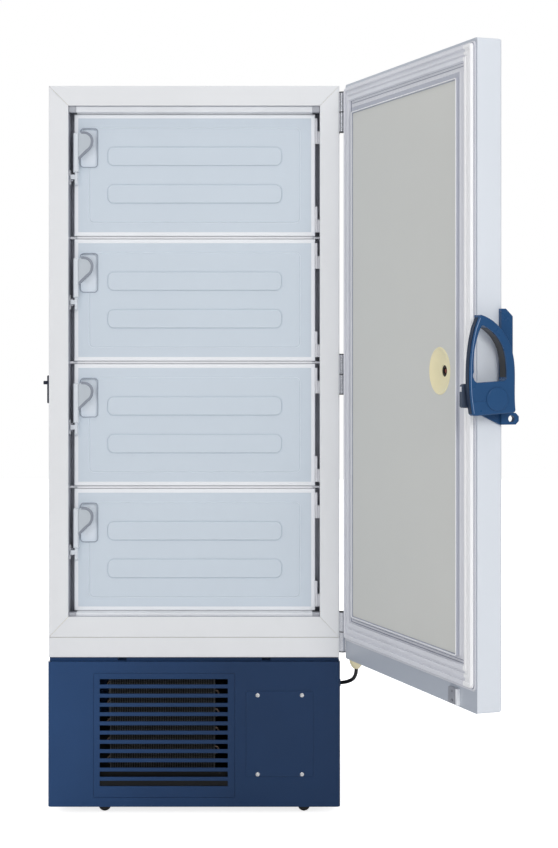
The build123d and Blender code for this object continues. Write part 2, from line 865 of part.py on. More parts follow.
def door_bottom_bracket():
    # Catch plate of the closed-door sensor on the bare strip under the lining.
    y = (flange_y, flange_y + bracket_thickness)
    plate = rounded_plate((bracket_x[0] + 10, bracket_x[1]), y, bracket_z, 4.0)
    middle = (bracket_x[0] + 10 + bracket_x[1]) / 2
    for z in (bracket_z[0] + 9, bracket_z[1] - 9):
        plate -= rod_y(3.2, middle, y, z)
    magnet = rounded_plate((bracket_x[0], bracket_x[0] + 10), (y[0], y[1] + 1.5), bracket_z, 2.0)
    return [plate, magnet]


def cable_gland():
    x = half_width - gland_in
    y = flange_y - gland_from_flange
    floor = door_floor_z
    profile = [
        Line((0, 0), (gland_radius, 0)),
        Line((gland_radius, 0), (gland_radius, -6)),
        ThreePointArc((gland_radius, -6), (gland_radius - 4.5, -17.5), (7.0, -gland_height)),
        Line((7.0, -gland_height), (0, -gland_height)),
        Line((0, -gland_height), (0, 0)),
    ]
    plane = Plane((x, y, floor), x_dir=(1, 0, 0), z_dir=(0, -1, 0))
    return revolve(plane * make_face(profile), Axis((x, y, floor), (0, 0, 1)))


panel_x = (-150.0, 150.0)
panel_z = (overall_height - 420.0, overall_height - 290.0)
panel_proud = 7.0
screen_x = (-118.0, 58.0)
screen_margin = 20.0


def control_panel():
    # Moulded bezel on the door's front with a window, four flat keys and a lamp ring.
    y = (skin_y - panel_proud, skin_y)
    bezel = rounded_plate(panel_x, y, panel_z, 12.0)
    bezel = fillet(bezel.faces().sort_by(Axis.Y)[0].edges(), 3.0)
    screen_z = (panel_z[0] + screen_margin, panel_z[1] - screen_margin)
    bezel -= rounded_plate(screen_x, (y[0], y[0] + 3), screen_z, 4.0)
    pieces = [bezel]
    key_x = (screen_x[1] + panel_x[1]) / 2
    pitch = (screen_z[1] - screen_z[0]) / 4
    for step in range(4):
        z = screen_z[0] + pitch * (step + 0.5)
        key = rounded_plate((key_x - 16, key_x + 16), (y[0] - 1.2, y[0]), (z - 7, z + 7), 5.0)
        pieces.append(key)
    return pieces


def display_glass():
    y = skin_y - panel_proud
    z = (panel_z[0] + screen_margin + 0.3, panel_z[1] - screen_margin - 0.3)
    return rounded_plate((screen_x[0] + 0.3, screen_x[1] - 0.3), (y + 0.8, y + 3), z, 3.7)


def door_hinges():
    # Upper halves, screwed to the door's edge, with a blind bore over the cabinet's pin.
    halves = []
    for middle in hinge_mid_heights:
        z = (middle + axial_gap / 2, middle + hinge_half)
        half = rod_z(hinge_radius, hinge_x, hinge_y, z)
        half += block((half_width, half_width + hinge_leaf), (flange_y - hinge_leaf_reach, hinge_y), z)
        bore = (z[0], middle + hinge_half - 6)
        half -= rod_z(hinge_pin_radius + running_clearance, hinge_x, hinge_y, bore)
        halves.append(half)
    return halves


def cabinet_hinges():
    # Lower halves, screwed to the cabinet's side, each with its pin standing up.
    halves = []
    for middle in hinge_mid_heights:
        z = (middle - hinge_half, middle - axial_gap / 2)
        half = rod_z(hinge_radius, hinge_x, hinge_y, z)
        half += block((half_width, half_width + hinge_leaf), (hinge_y, front_y + hinge_leaf_reach), z)
        half += rod_z(hinge_pin_radius, hinge_x, hinge_y, (z[0], middle + hinge_half - 8))
        halves.append(half)
    return halves


# Handle, drawn on the closed door: u runs outwards from the door's inner flange plane

def u_to_y(u):
    return flange_y - u


handle_y = u_to_y(handle_from_flange)
lever_outer_x = -half_width - handle_standoff - handle_plate
lever_inner_x = -half_width - handle_standoff
cam_x = (-half_width - 8 - cam_plate, -half_width - 8)
axle_root_x = -half_width - 6.0
axle_end_x = lever_outer_x - axial_gap
axle_cap = 3.0
axle_cap_radius = 27.0
lever_edge_round = 3.0
loop_wall_x = -half_width - 15.0

# The lever's outline and opening, from the axle: u along the door, then height
lever_low = -38.0
lever_low_right = -31.0
lever_corner_u = -60.5
lever_apex_u = -43.0
lever_corner_round = 7.0
lever_left_u = -69.0
lever_right_u = 49.0
lever_shoulder = (41.0, 105.0)
lever_top = 193.0
opening_low = 37.5
opening_right_u = 24.5
opening_left_u = -59.0
opening_shoulder = (19.0, 108.6)
opening_top = 168.0
lever_groove = 0.8
lever_groove_height = -4.0


def plate_yz(outline, x):
    # An outline in u and Z, made into a plate between two x values.
    plane = Plane((x[1], 0, 0), x_dir=(0, -1, 0), z_dir=(-1, 0, 0))
    return extrude(plane * make_face(outline), amount=x[1] - x[0])


def door_u(u):
    # Distance along the plate's own x direction for a given u.
    return -flange_y + u


def at_axle(u, rise):
    # A point of the lever's side view, from the axle's centre.
    return (door_u(handle_from_flange + u), handle_z + rise)


def lever_outline():
    low_left, low_right = at_axle(lever_corner_u, lever_low), at_axle(lever_right_u, lever_low_right)
    apex = at_axle(lever_apex_u, lever_top)
    right = [low_right, at_axle(46.5, 40), at_axle(*lever_shoulder), at_axle(18, 152), apex]
    left = [apex, at_axle(-61, 135), at_axle(lever_left_u, 60), at_axle(-67, 4), low_left]
    return [Line(low_left, low_right), Spline(*right), Spline(*left)]


def lever_blank(x):
    # The lever's outline as a plate with its three corners rounded.
    blank = plate_yz(lever_outline(), x)
    corners = blank.edges().filter_by(Axis.X)
    return fillet(corners, lever_corner_round)


def lever_opening():
    return [
        Line(at_axle(-50, opening_low), at_axle(16, opening_low + 3.5)),
        ThreePointArc(at_axle(16, opening_low + 3.5), at_axle(22.3, 43.6), at_axle(opening_right_u, 50)),
        ThreePointArc(at_axle(opening_right_u, 50), at_axle(23.7, 82), at_axle(*opening_shoulder)),
        ThreePointArc(at_axle(*opening_shoulder), at_axle(-5, 148), at_axle(-36.5, opening_top)),
        Line(at_axle(-36.5, opening_top), at_axle(-39.5, opening_top - 1.5)),
        ThreePointArc(at_axle(-39.5, opening_top - 1.5), at_axle(-54, 125), at_axle(opening_left_u, 62)),
        ThreePointArc(at_axle(opening_left_u, 62), at_axle(-57, 43), at_axle(-50, opening_low)),
    ]


def handle_lever():
    # Pull lever with a pointed loop and its hub, and the cam that takes the cabinet's pin.
    x = (lever_outer_x, lever_inner_x)
    bore = handle_axle_radius + running_clearance
    lever = lever_blank(x)
    lever = fillet(lever.faces().sort_by(Axis.X)[0].edges(), lever_edge_round)
    wall = lever_blank((lever_inner_x, loop_wall_x))
    right_side = block(
        (lever_inner_x, loop_wall_x),
        (u_to_y(handle_from_flange + lever_right_u + 5), u_to_y(handle_from_flange - 40)),
        (handle_z + opening_low + 4, handle_z + lever_top),
    )
    lever += wall & right_side
    lever -= plate_yz(lever_opening(), (lever_outer_x, loop_wall_x))
    lever += rod_x(handle_hub_radius, (x[0], cam_x[0]), handle_y, handle_z)
    groove_z = handle_z + lever_groove_height
    lever -= block(
        (x[0], x[0] + lever_groove),
        (u_to_y(handle_from_flange - axle_cap_radius), u_to_y(handle_from_flange + lever_left_u - 5)),
        (groove_z - lever_groove / 2, groove_z + lever_groove / 2),
    )
    lever -= rod_x(bore, (lever_outer_x, cam_x[0]), handle_y, handle_z)
    cam = cam_arm() + rod_x(handle_hub_radius, cam_x, handle_y, handle_z)
    return [lever, cam - rod_x(bore, cam_x, handle_y, handle_z)]


def striker_pin_place():
    # The pin's centre on the closed cabinet, in u and Z.
    angle = radians(striker_pin_angle)
    return (
        handle_from_flange + striker_pin_reach * cos(angle),
        handle_z + striker_pin_reach * sin(angle),
    )


def cam_arm():
    # A blind slot follows the pin as the lever turns: open towards the cabinet, closed at the far end.
    pin_u, pin_z = striker_pin_place()
    slot_half = striker_pin_radius + 0.8
    wall = 6.5
    left = pin_u - slot_half - wall
    top = pin_z + slot_half + wall
    low = handle_z - 20.0
    outline = [
        Line((door_u(handle_from_flange), low), (door_u(left + 5), low)),
        ThreePointArc((door_u(left + 5), low), (door_u(left + 1.5), low + 1.5), (door_u(left), low + 5)),
        Line((door_u(left), low + 5), (door_u(left), top - 8)),
        ThreePointArc((door_u(left), top - 8), (door_u(left + 2.4), top - 2.4), (door_u(left + 8), top)),
        Line((door_u(left + 8), top), (door_u(handle_from_flange - 18), top - 4)),
        Line((door_u(handle_from_flange - 18), top - 4), (door_u(handle_from_flange), low)),
    ]
    arm = plate_yz(outline, cam_x)
    end_angle = striker_pin_angle + handle_throw + 1.0
    reach_in, reach_out = striker_pin_reach - slot_half, striker_pin_reach + slot_half

    def at(reach, angle):
        turn = radians(angle)
        return (door_u(handle_from_flange + reach * cos(turn)), handle_z + reach * sin(turn))

    middle = (striker_pin_angle + end_angle) / 2
    band = [
        ThreePointArc(
            at(reach_in, striker_pin_angle), at(reach_in, middle), at(reach_in, end_angle)
        ),
        Line(at(reach_in, end_angle), at(reach_out, end_angle)),
        ThreePointArc(
            at(reach_out, end_angle), at(reach_out, middle), at(reach_out, striker_pin_angle)
        ),
        Line(at(reach_out, striker_pin_angle), at(reach_in, striker_pin_angle)),
    ]
    slot_x = (cam_x[0] + cam_skin, cam_x[1])
    slot = plate_yz(band, slot_x)
    end_u, end_z = at(striker_pin_reach, end_angle)
    slot += rod_x(slot_half, slot_x, -end_u, end_z)
    slot += rod_x(slot_half, slot_x, u_to_y(pin_u), pin_z)
    mouth = block(
        slot_x, (u_to_y(pin_u), u_to_y(left) + 4), (pin_z - slot_half, pin_z + slot_half)
    )
    return arm - slot - mouth


def door_striker():
    # Plate on the cabinet's left side with the pin that the cam takes.
    pin_u, pin_z = striker_pin_place()
    y = u_to_y(pin_u)
    wall = -half_width
    plate = block((wall - striker_plate, wall), (y - 19, y + 21), (pin_z - 56, pin_z + 20))
    plate = fillet(edges_along(plate, Axis.X), 5.0)
    plate = chamfer(plate.faces().sort_by(Axis.X)[0].edges(), 1.2)
    pin = rod_x(striker_pin_radius, (cam_x[0] + cam_skin + 1, wall - striker_plate), y, pin_z)
    pin = chamfer(pin.faces().sort_by(Axis.X)[0].edges(), 1.0)
    for drop in (18, 42):
        plate -= rod_x(3.2, (wall - striker_plate, wall), y, pin_z - drop)
    return plate + pin


housing_low_z = handle_z - 60.0
housing_high_z = handle_z + 207.0
housing_plate = 6.0
housing_side = 13.0
housing_proud = 22.0
housing_front_reach = 46.0
housing_back_u = 55.0
housing_chamfer = 19.0
hasp_height = 27.0
hasp_hole_radius = 8.0
hasp_hole_u = 81.0
hasp_end_u = 100.0
hasp_corner = 8.0


def handle_bracket():
    # Housing wrapped round the door's front edge, side plate, lever axle and padlock eye.
    front_u = door_thickness + housing_proud
    low, high = housing_low_z, housing_high_z
    hasp_top = low + hasp_height
    hasp_z = low + hasp_height / 2

    def outline(*corners):
        return Polyline(*[(door_u(u), z) for u, z in corners], close=True)

    side_x = (-half_width - housing_side, -half_width)
    cut = housing_chamfer
    side = plate_yz(
        outline(
            (housing_back_u, hasp_top),
            (housing_back_u, high),
            (front_u - cut, high),
            (front_u, high - cut),
            (front_u, hasp_top),
        ),
        side_x,
    )
    front = plate_yz(
        outline(
            (door_thickness, hasp_top + 4),
            (door_thickness, high),
            (front_u - cut, high),
            (front_u, high - cut),
            (front_u, hasp_top + 4),
        ),
        (-half_width, -half_width + housing_front_reach),
    )
    housing = side + front
    upright = housing.edges().filter_by(Axis.Z).sort_by(Axis.Y)
    housing = fillet(upright[0:2], 4.0)
    eye = plate_yz(
        outline(
            (housing_back_u, low),
            (hasp_end_u - hasp_corner, low),
            (hasp_end_u, low + hasp_corner),
            (hasp_end_u, hasp_top - hasp_corner),
            (hasp_end_u - hasp_corner, hasp_top),
            (housing_back_u, hasp_top),
        ),
        side_x,
    )
    plate_x = (axle_root_x, -half_width)
    plate = plate_yz(
        outline(
            (housing_back_u, low),
            (handle_from_flange - 13, low + 20),
            (handle_from_flange - 30, low + 28),
            (handle_from_flange - 30, handle_z + 35),
            (housing_back_u, handle_z + 35),
        ),
        plate_x,
    )
    axle = rod_x(handle_axle_radius, (axle_end_x, axle_root_x), handle_y, handle_z)
    cap = rod_x(axle_cap_radius, (axle_end_x - axle_cap, axle_end_x), handle_y, handle_z)
    cap = fillet(cap.faces().sort_by(Axis.X)[0].edges(), 2.0)
    body = housing + eye + plate + axle + cap
    return body - rod_x(hasp_hole_radius, side_x, u_to_y(hasp_hole_u), hasp_z)


# Base and machinery

rail_top_z = cabinet_floor_z
notch_x = (184.0, 208.0)


def base_frame():
    # Pan with turned-up edges, angle posts, and the rails that carry the cabinet.
    half, front, back = half_width - case_sheet, front_y + 12, rear_y - case_sheet
    pan = block((-half, half), (front, back), (pan_z, pan_z + pan_sheet))
    lip = 22.0
    for x in ((-half, -half + pan_sheet), (half - pan_sheet, half)):
        pan += block(x, (front, back), (pan_z, pan_z + lip))
    for y in ((front, front + pan_sheet), (back - pan_sheet, back)):
        pan += block((-half, half), y, (pan_z, pan_z + lip))
    posts = []
    rail_low = rail_top_z - base_rail
    for side in (-1, 1):
        for y, turn in ((front + pan_sheet, 1), (back - pan_sheet, -1)):
            x_out = side * (half - pan_sheet)
            x_in = x_out - side * post_width
            leg = block(sorted((x_out, x_out - side * post_wall)), sorted((y, y + turn * post_width)),
                        (pan_z + pan_sheet, rail_low))
            foot = block(sorted((x_out, x_in)), sorted((y, y + turn * post_wall)),
                         (pan_z + pan_sheet, rail_low))
            posts.append(leg + foot)
    rails = []
    tube = (rail_low, rail_top_z)
    front_rail = block((-half, half), (rail_front_y, rail_front_y + base_rail), tube)
    for side in (-1, 1):
        notch = sorted((side * notch_x[0], side * notch_x[1]))
        front_rail -= block(notch, (rail_front_y, rail_front_y + 14), (rail_top_z - 10, rail_top_z))
    back_rail = block((-half, half), (back - base_rail, back), tube)
    rails += [front_rail, back_rail]
    for x in ((-half, -half + base_rail), (half - base_rail, half)):
        rails.append(block(x, (rail_front_y + base_rail, back - base_rail), tube))
    return [pan] + posts + rails


def base_front_cover():
    # Folded steel cover: round corners, returns at the sides, top and bottom, and two cut-outs.
    sheet = base_sheet
    side_return = 22.0
    low, high = base_cover_bottom_z, base_cover_top_z
    outer = block((-base_half, base_half), (base_front_y, base_front_y + side_return), (low, high))
    outer = fillet(edges_along(outer, Axis.Z).sort_by(Axis.Y)[0:2], base_corner_round)
    inner = block(
        (-base_half + sheet, base_half - sheet),
        (base_front_y + sheet, base_front_y + side_return),
        (low, high),
    )
    inner = fillet(edges_along(inner, Axis.Z).sort_by(Axis.Y)[0:2], base_corner_round - sheet)
    cover = outer - inner
    top_return = block(
        (-base_half + base_corner_round, base_half - base_corner_round),
        (base_front_y + sheet / 2, rail_front_y),
        (high - sheet, high),
    )
    cover += top_return
    cover += block(
        (-base_half + base_corner_round, base_half - base_corner_round),
        (base_front_y + sheet / 2, base_front_y + 9),
        (low, low + sheet),
    )
    y = (base_front_y, base_front_y + sheet)
    cover -= rounded_plate((grille_left, grille_right), y, (grille_bottom_z, grille_top_z), 3.0)
    cover -= block((service_left + 8, service_right - 8), y, (service_bottom_z + 12, service_top_z - 18))
    for x in service_screw_x:
        for z in service_screw_z:
            cover -= rod_y(3.0, x, y, z)
    return cover


def intake_grille():
    # Pressed insert with long slots, seated in the cover's cut-out on a flange behind it.
    gap = 0.6
    sheet = base_sheet
    face = rounded_plate(
        (grille_left + gap, grille_right - gap),
        (base_front_y - 0.4, base_front_y + sheet),
        (grille_bottom_z + gap, grille_top_z - gap),
        3.0,
    )
    face = fillet(face.faces().sort_by(Axis.Y)[0].edges(), 0.8)
    flange = rounded_plate(
        (grille_left - 8, grille_right + 8),
        (base_front_y + sheet, base_front_y + 2 * sheet),
        (grille_bottom_z - 8, grille_top_z + 8),
        4.0,
    )
    slots = None
    for step in range(slot_count):
        z = first_slot_z - step * slot_pitch
        slot = rounded_plate(
            (slot_left, slot_right),
            (base_front_y - 0.4, base_front_y + 2 * sheet),
            (z - slot_height / 2, z + slot_height / 2),
            1.5,
        )
        slots = slot if slots is None else slots + slot
    return face + flange - slots


def service_plate():
    plate = rounded_plate(
        (service_left, service_right),
        (base_front_y - base_sheet, base_front_y),
        (service_bottom_z, service_top_z),
        4.0,
    )
    plate = fillet(plate.faces().sort_by(Axis.Y)[0].edges(), 0.8)
    for x in service_screw_x:
        for z in service_screw_z:
            plate -= rod_y(3.0, x, (base_front_y - base_sheet, base_front_y), z)
    return plate


def base_screws():
    # Pan head screws of the service plate.
    screws = []
    seat = base_front_y - base_sheet
    for x in service_screw_x:
        for z in service_screw_z:
            head = rod_y(screw_head_radius, x, (seat - 3.4, seat), z)
            head = fillet(head.faces().sort_by(Axis.Y)[0].edges(), 2.4)
            screws.append(head + rod_y(2.9, x, (seat, base_front_y + 10), z))
    return screws


cable_entry = (front_y + 29.0, door_floor_z - 74.0)
louvre_count = 10
louvre_pitch = 22.0


def base_side_covers():
    # Plain side panels with a field of louvres low down at the back.
    covers = []
    y = (base_front_y + 23, rear_y - case_sheet)
    z = (base_cover_bottom_z + 20, base_cover_top_z)
    for side in (-1, 1):
        outer = side * half_width
        cover = block(sorted((outer, outer - side * base_sheet)), y, z)
        for step in range(louvre_count):
            height = pan_z + 50 + step * louvre_pitch
            slot_y = (rear_y - 305.0, rear_y - 105.0)
            slot = block(sorted((outer, outer - side * base_sheet)), slot_y, (height, height + 7))
            cover -= slot
        if side > 0:
            cable_y, cable_z = cable_entry
            cover += rod_x(cable_grommet_radius, (outer, outer + 4), cable_y, cable_z)
            cover -= rod_x(cable_radius + 0.6, (outer - base_sheet, outer + 4), cable_y, cable_z)
        covers.append(cover)
    return covers


def base_rear_grille():
    # Slotted sheet across the back of the machine compartment.
    half = half_width - case_sheet
    y = (rear_y - case_sheet, rear_y)
    cover = block((-half, half), y, (base_cover_bottom_z + 20, base_cover_top_z))
    start, gap, columns = -half_width + 105.0, 30.0, 3
    width = (inlet_x[0] - 72.0 - start - gap * (columns - 1)) / columns
    for column in range(columns):
        x = start + column * (width + gap)
        for step in range(louvre_count):
            height = pan_z + 50 + step * louvre_pitch
            cover -= block((x, x + width), y, (height, height + 9))
    return cover - block(inlet_x, y, inlet_z)


condenser_x = (grille_left + 45.2, grille_right - 57.0)
condenser_y = (base_front_y + 28.0, base_front_y + 72.0)
condenser_z = (pan_z + 4.5, grille_top_z - 1.4)
fin_pitch = 4.7
fin_thickness = 1.1
fin_depth = 6.0


def condenser():
    # Finned block between two end plates, with the return bends of its tubes.
    front, back = condenser_y
    low, high = condenser_z[0], condenser_z[1]
    core = block(condenser_x, (front + fin_depth, back), (low, high))
    count = int((condenser_x[1] - condenser_x[0] - 4) / fin_pitch)
    fins = [
        block(
            (condenser_x[0] + 2 + step * fin_pitch, condenser_x[0] + 2 + step * fin_pitch + fin_thickness),
            (front, front + fin_depth),
            (low, high),
        )
        for step in range(count + 1)
    ]
    core = core.fuse(*fins)
    plates = [
        block(x, (front - 4, back), (pan_z + pan_sheet, high))
        for x in (
            (condenser_x[0] - 2, condenser_x[0]),
            (condenser_x[1], condenser_x[1] + 2),
        )
    ]
    bends = []
    rows = 5
    pitch = (high - low) / (rows + 0.5)
    for row in range(rows):
        z = low + pitch * (row + 0.75)
        for side, x in ((-1, condenser_x[0] - 2), (1, condenser_x[1] + 2)):
            if side > 0 and row == rows - 1:
                continue
            height = z if side < 0 else z + pitch / 2
            bend = Torus(9.0, 3.5)
            bend = Pos(x, (front + back) / 2, height) * Rot(0, 90, 0) * Rot(90, 0, 0) * bend
            half_space = block(sorted((x, x + side * 20)), (front - 10, back + 10), (height - 30, height + 30))
            bends.append(bend & half_space)
    return [core] + plates + bends


fan_x = (condenser_x[0] + condenser_x[1]) / 2
fan_z = (condenser_z[0] + condenser_z[1]) / 2
fan_y = condenser_y[1] + 38.0
shroud_hole = min(condenser_x[1] - condenser_x[0], condenser_z[1] - condenser_z[0]) / 2 - 27.0
fan_radius = shroud_hole - 6.0
fan_hub_radius = 30.0
fan_blade_root = 12.0
fan_blade_tip = 32.0
fan_blade_tilt = 26.0
fan_sheet = 2.0
motor_radius = 38.0
motor_length = 62.0
shroud_depth = 34.0


def fan_shroud():
    # Plate with the fan's opening behind the condenser, and the motor on its bracket.
    front = condenser_y[1]
    plate = block(
        (condenser_x[0] - 2, condenser_x[1] + 2), (front, front + 2), (pan_z + pan_sheet, condenser_z[1])
    )
    plate -= rod_y(shroud_hole, fan_x, (front, front + 2), fan_z)
    ring = rod_y(shroud_hole + 2, fan_x, (front, front + shroud_depth), fan_z)
    ring -= rod_y(shroud_hole, fan_x, (front, front + shroud_depth), fan_z)
    return plate + ring


def fan_motor():
    back = fan_y + 16
    motor = rod_y(motor_radius, fan_x, (back, back + motor_length), fan_z)
    motor = fillet(motor.faces().sort_by(Axis.Y)[-1].edges(), 6.0)
    shaft = rod_y(5.0, fan_x, (fan_y - 14, back), fan_z)
    foot = block((fan_x - 26, fan_x + 26), (back + 8, back + 46), (pan_z + pan_sheet, fan_z - 30))
    foot -= block((fan_x - 20, fan_x + 20), (back + 8, back + 46), (pan_z + pan_sheet + 6, fan_z - 44))
    return motor + shaft + foot


def fan_blade():
    # Pressed five-blade axial fan.
    hub = rod_y(fan_hub_radius, fan_x, (fan_y - 12, fan_y + 12), fan_z)
    blade_profile = [
        Line((fan_hub_radius - 4, -fan_blade_root), (fan_radius - 10, -fan_blade_tip)),
        ThreePointArc((fan_radius - 10, -fan_blade_tip), (fan_radius, 0), (fan_radius - 10, fan_blade_tip)),
        Line((fan_radius - 10, fan_blade_tip), (fan_hub_radius - 4, fan_blade_root)),
        Line((fan_hub_radius - 4, fan_blade_root), (fan_hub_radius - 4, -fan_blade_root)),
    ]
    plane = Plane((0, fan_sheet / 2, 0), x_dir=(1, 0, 0), z_dir=(0, -1, 0))
    blade = extrude(plane * make_face(blade_profile), amount=fan_sheet)
    blade = Rot(fan_blade_tilt, 0, 0) * blade
    for step in range(5):
        hub += Pos(fan_x, fan_y, fan_z) * Rot(0, 72 * step, 0) * blade
    return hub - rod_y(5.0 + running_clearance, fan_x, (fan_y - 15, fan_y + 12), fan_z)


machine_top_z = cabinet_floor_z - base_rail
compressor_top_z = machine_top_z - 82.0
compressor_radius = 0.2228 * half_width
compressor_y = rear_y - 305.0
compressor_places = ((-0.481 * half_width, compressor_y), (0.152 * half_width, compressor_y))


def compressors():
    # Two hermetic compressors of the cascade, each on a foot plate.
    pieces = []
    floor = pan_z + pan_sheet
    for x, y in compressor_places:
        can = rod_z(compressor_radius, x, y, (floor + 12, compressor_top_z))
        can = fillet(can.faces().sort_by(Axis.Z)[-1].edges(), 38.0)
        reach = compressor_radius + 7
        foot = block((x - reach, x + reach), (y - 70, y + 70), (floor + 8, floor + 12))
        seam_z = (floor + compressor_top_z) / 2 + 10
        seam_ring = rod_z(compressor_radius + 3, x, y, (seam_z, seam_z + 5))
        can = can + foot + seam_ring
        for side in (-1, 1):
            for end in (-1, 1):
                can += rod_z(9.0, x + side * (reach - 15), y + end * 56, (floor, floor + 8))
        box = block((x + compressor_radius - 6, x + compressor_radius + 26), (y - 26, y + 26), (floor + 50, floor + 112))
        pieces.append(can + box)
    return pieces


exchanger_x = (0.481 * half_width, 0.633 * half_width)
exchanger_y = (rear_y - 355.0, rear_y - 235.0)
separator_x = 0.544 * half_width
separator_y = rear_y - 155.0
separator_radius = 32.0
drier_x = 0.76 * half_width
drier_radius = 16.0


def refrigeration_parts():
    # Plate heat exchanger, oil separator and drier standing on the pan, with the line between them.
    floor = pan_z + pan_sheet
    exchanger = block(exchanger_x, exchanger_y, (floor, compressor_top_z - 10))
    exchanger = fillet(edges_along(exchanger, Axis.Z), 8.0)
    separator = rod_z(separator_radius, separator_x, separator_y, (floor, compressor_top_z - 25))
    separator = fillet(separator.faces().sort_by(Axis.Z)[-1].edges(), separator_radius * 0.6)
    drier_top = compressor_top_z - 85
    drier = rod_z(drier_radius, drier_x, separator_y, (floor, drier_top))
    drier = fillet(drier.faces().sort_by(Axis.Z)[-1].edges(), drier_radius * 0.6)
    line = rod_x(5.0, (separator_x, drier_x), separator_y, (floor + drier_top) / 2)
    return [exchanger, separator + line + drier]


control_x = (half_width - 245.0, half_width - 65.0)
control_y = (front_y + 55.0, front_y + 245.0)
control_z = (pan_z + 23.0, base_cover_top_z - 65.0)
inlet_x = (half_width - 133.0, half_width - 85.0)
inlet_z = (pan_z + 123.0, pan_z + 158.0)


def control_box():
    # Folded steel box behind the service plate for the controller and relays.
    box = block(control_x, control_y, (pan_z + pan_sheet, control_z[1]))
    lid_edge = block((control_x[0] - 1.5, control_x[1] + 1.5), (control_y[0], control_y[0] + 14), control_z)
    return box + lid_edge


def power_inlet():
    # Recessed appliance inlet with three flat pins, in the rear grille.
    body = block(inlet_x, (rear_y - 34, rear_y), inlet_z)
    rim = rounded_plate(
        (inlet_x[0] - 10, inlet_x[1] + 10), (rear_y, rear_y + 3), (inlet_z[0] - 5, inlet_z[1] + 5), 4.0
    )
    cavity = block((inlet_x[0] + 6, inlet_x[1] - 6), (rear_y - 22, rear_y + 3), (inlet_z[0] + 5, inlet_z[1] - 5))
    body = body + rim - cavity
    middle_x = (inlet_x[0] + inlet_x[1]) / 2
    middle_z = (inlet_z[0] + inlet_z[1]) / 2
    for x, z in ((-11, -3), (0, 4), (11, -3)):
        body += block(
            (middle_x + x - 1, middle_x + x + 1), (rear_y - 24, rear_y - 5), (middle_z + z - 3, middle_z + z + 3)
        )
    return body


# Castors

castor_corners = {
    "front_left": (castor_left_x, -castor_y),
    "front_right": (castor_right_x, -castor_y),
    "rear_left": (castor_left_x, castor_y),
    "rear_right": (castor_right_x, castor_y),
}
race_radius = 24.0
race_height = 8.0
kingpin_radius = 6.0
fork_sheet = 3.0
fork_gap = 2.0
axle_radius = 5.0
race_low_z = pan_z - castor_plate - race_height
crown_z = race_low_z - axial_gap


def castor_plates():
    # Top plate and upper race of each castor, under the pan.
    pieces = []
    for x, y in castor_corners.values():
        plate = block((x - 42, x + 42), (y - 50, y + 50), (pan_z - castor_plate, pan_z))
        plate = fillet(edges_along(plate, Axis.Z), 6.0)
        plate += rod_z(race_radius, x, y, (race_low_z, pan_z - castor_plate))
        plate -= rod_z(kingpin_radius + running_clearance, x, y, (race_low_z, pan_z))
        pieces.append(plate)
    return pieces


brake_reach = 66.0
brake_half = 12.0


def castor_fork(x, y, braked):
    # Pressed fork trailing to the front, with kingpin, wheel axle and, on the front pair, a brake pedal.
    axle_y = y - castor_trail
    inside = wheel_width / 2 + fork_gap
    crown_low = crown_z - 4.0
    crown = rod_z(race_radius, x, y, (crown_low, crown_z))
    crown += block((x - inside - fork_sheet, x + inside + fork_sheet), (y - 18, y + 10), (crown_low, crown_z))
    kingpin = rod_z(kingpin_radius, x, y, (crown_low, pan_z - 0.5))
    fork = crown + kingpin
    side_outline = [
        Line((y + 10, crown_z), (y - 18, crown_z)),
        Line((y - 18, crown_z), (axle_y - 11, wheel_radius + 4)),
        ThreePointArc((axle_y - 11, wheel_radius + 4), (axle_y, wheel_radius - 12), (axle_y + 11, wheel_radius + 4)),
        Line((axle_y + 11, wheel_radius + 4), (y + 10, crown_z - 18)),
        Line((y + 10, crown_z - 18), (y + 10, crown_z)),
    ]
    for side in (-1, 1):
        start = x + side * inside
        plane = Plane((start, 0, 0), x_dir=(0, 1, 0), z_dir=(1, 0, 0))
        fork += extrude(plane * make_face(side_outline), amount=side * fork_sheet)
    axle = rod_x(axle_radius, (x - inside - fork_sheet - 3, x + inside + fork_sheet + 3), axle_y, wheel_radius)
    fork += axle
    if braked:
        pedal_x = (x - brake_half, x + brake_half)
        fork += block(pedal_x, (y - brake_reach, y - 10), (crown_low - 3.5, crown_low))
        fork += block(pedal_x, (y - brake_reach, y - brake_reach + 3.5), (crown_low - 12, crown_low))
    return fork


def castor_wheel(x, y):
    # Hard rubber wheel with a crowned tread.
    axle_y = y - castor_trail
    half = wheel_width / 2
    bore = axle_radius + running_clearance
    profile = [
        Line((bore, -half), (14, -half)),
        Line((14, -half), (18, -half + 4)),
        Line((18, -half + 4), (24, -half + 4)),
        Line((24, -half + 4), (27, -half)),
        ThreePointArc((27, -half), (wheel_radius, 0), (27, half)),
        Line((27, half), (24, half - 4)),
        Line((24, half - 4), (18, half - 4)),
        Line((18, half - 4), (14, half)),
        Line((14, half), (bore, half)),
        Line((bore, half), (bore, -half)),
    ]
    plane = Plane((x, axle_y, wheel_radius), x_dir=(0, 0, 1), z_dir=(0, -1, 0))
    return revolve(plane * make_face(profile), Axis((x, axle_y, wheel_radius), (1, 0, 0)))


# Door cable

gland_x, gland_y = swung_point(half_width - gland_in, flange_y - gland_from_flange)
gland_low_z = door_floor_z - gland_height
cable_route = [
    (gland_x, gland_y, gland_low_z),
    (gland_x, gland_y, gland_low_z - 24.0),
    (half_width + 19.0, cable_entry[0], cable_entry[1]),
    (half_width - 3.4, cable_entry[0], cable_entry[1]),
]


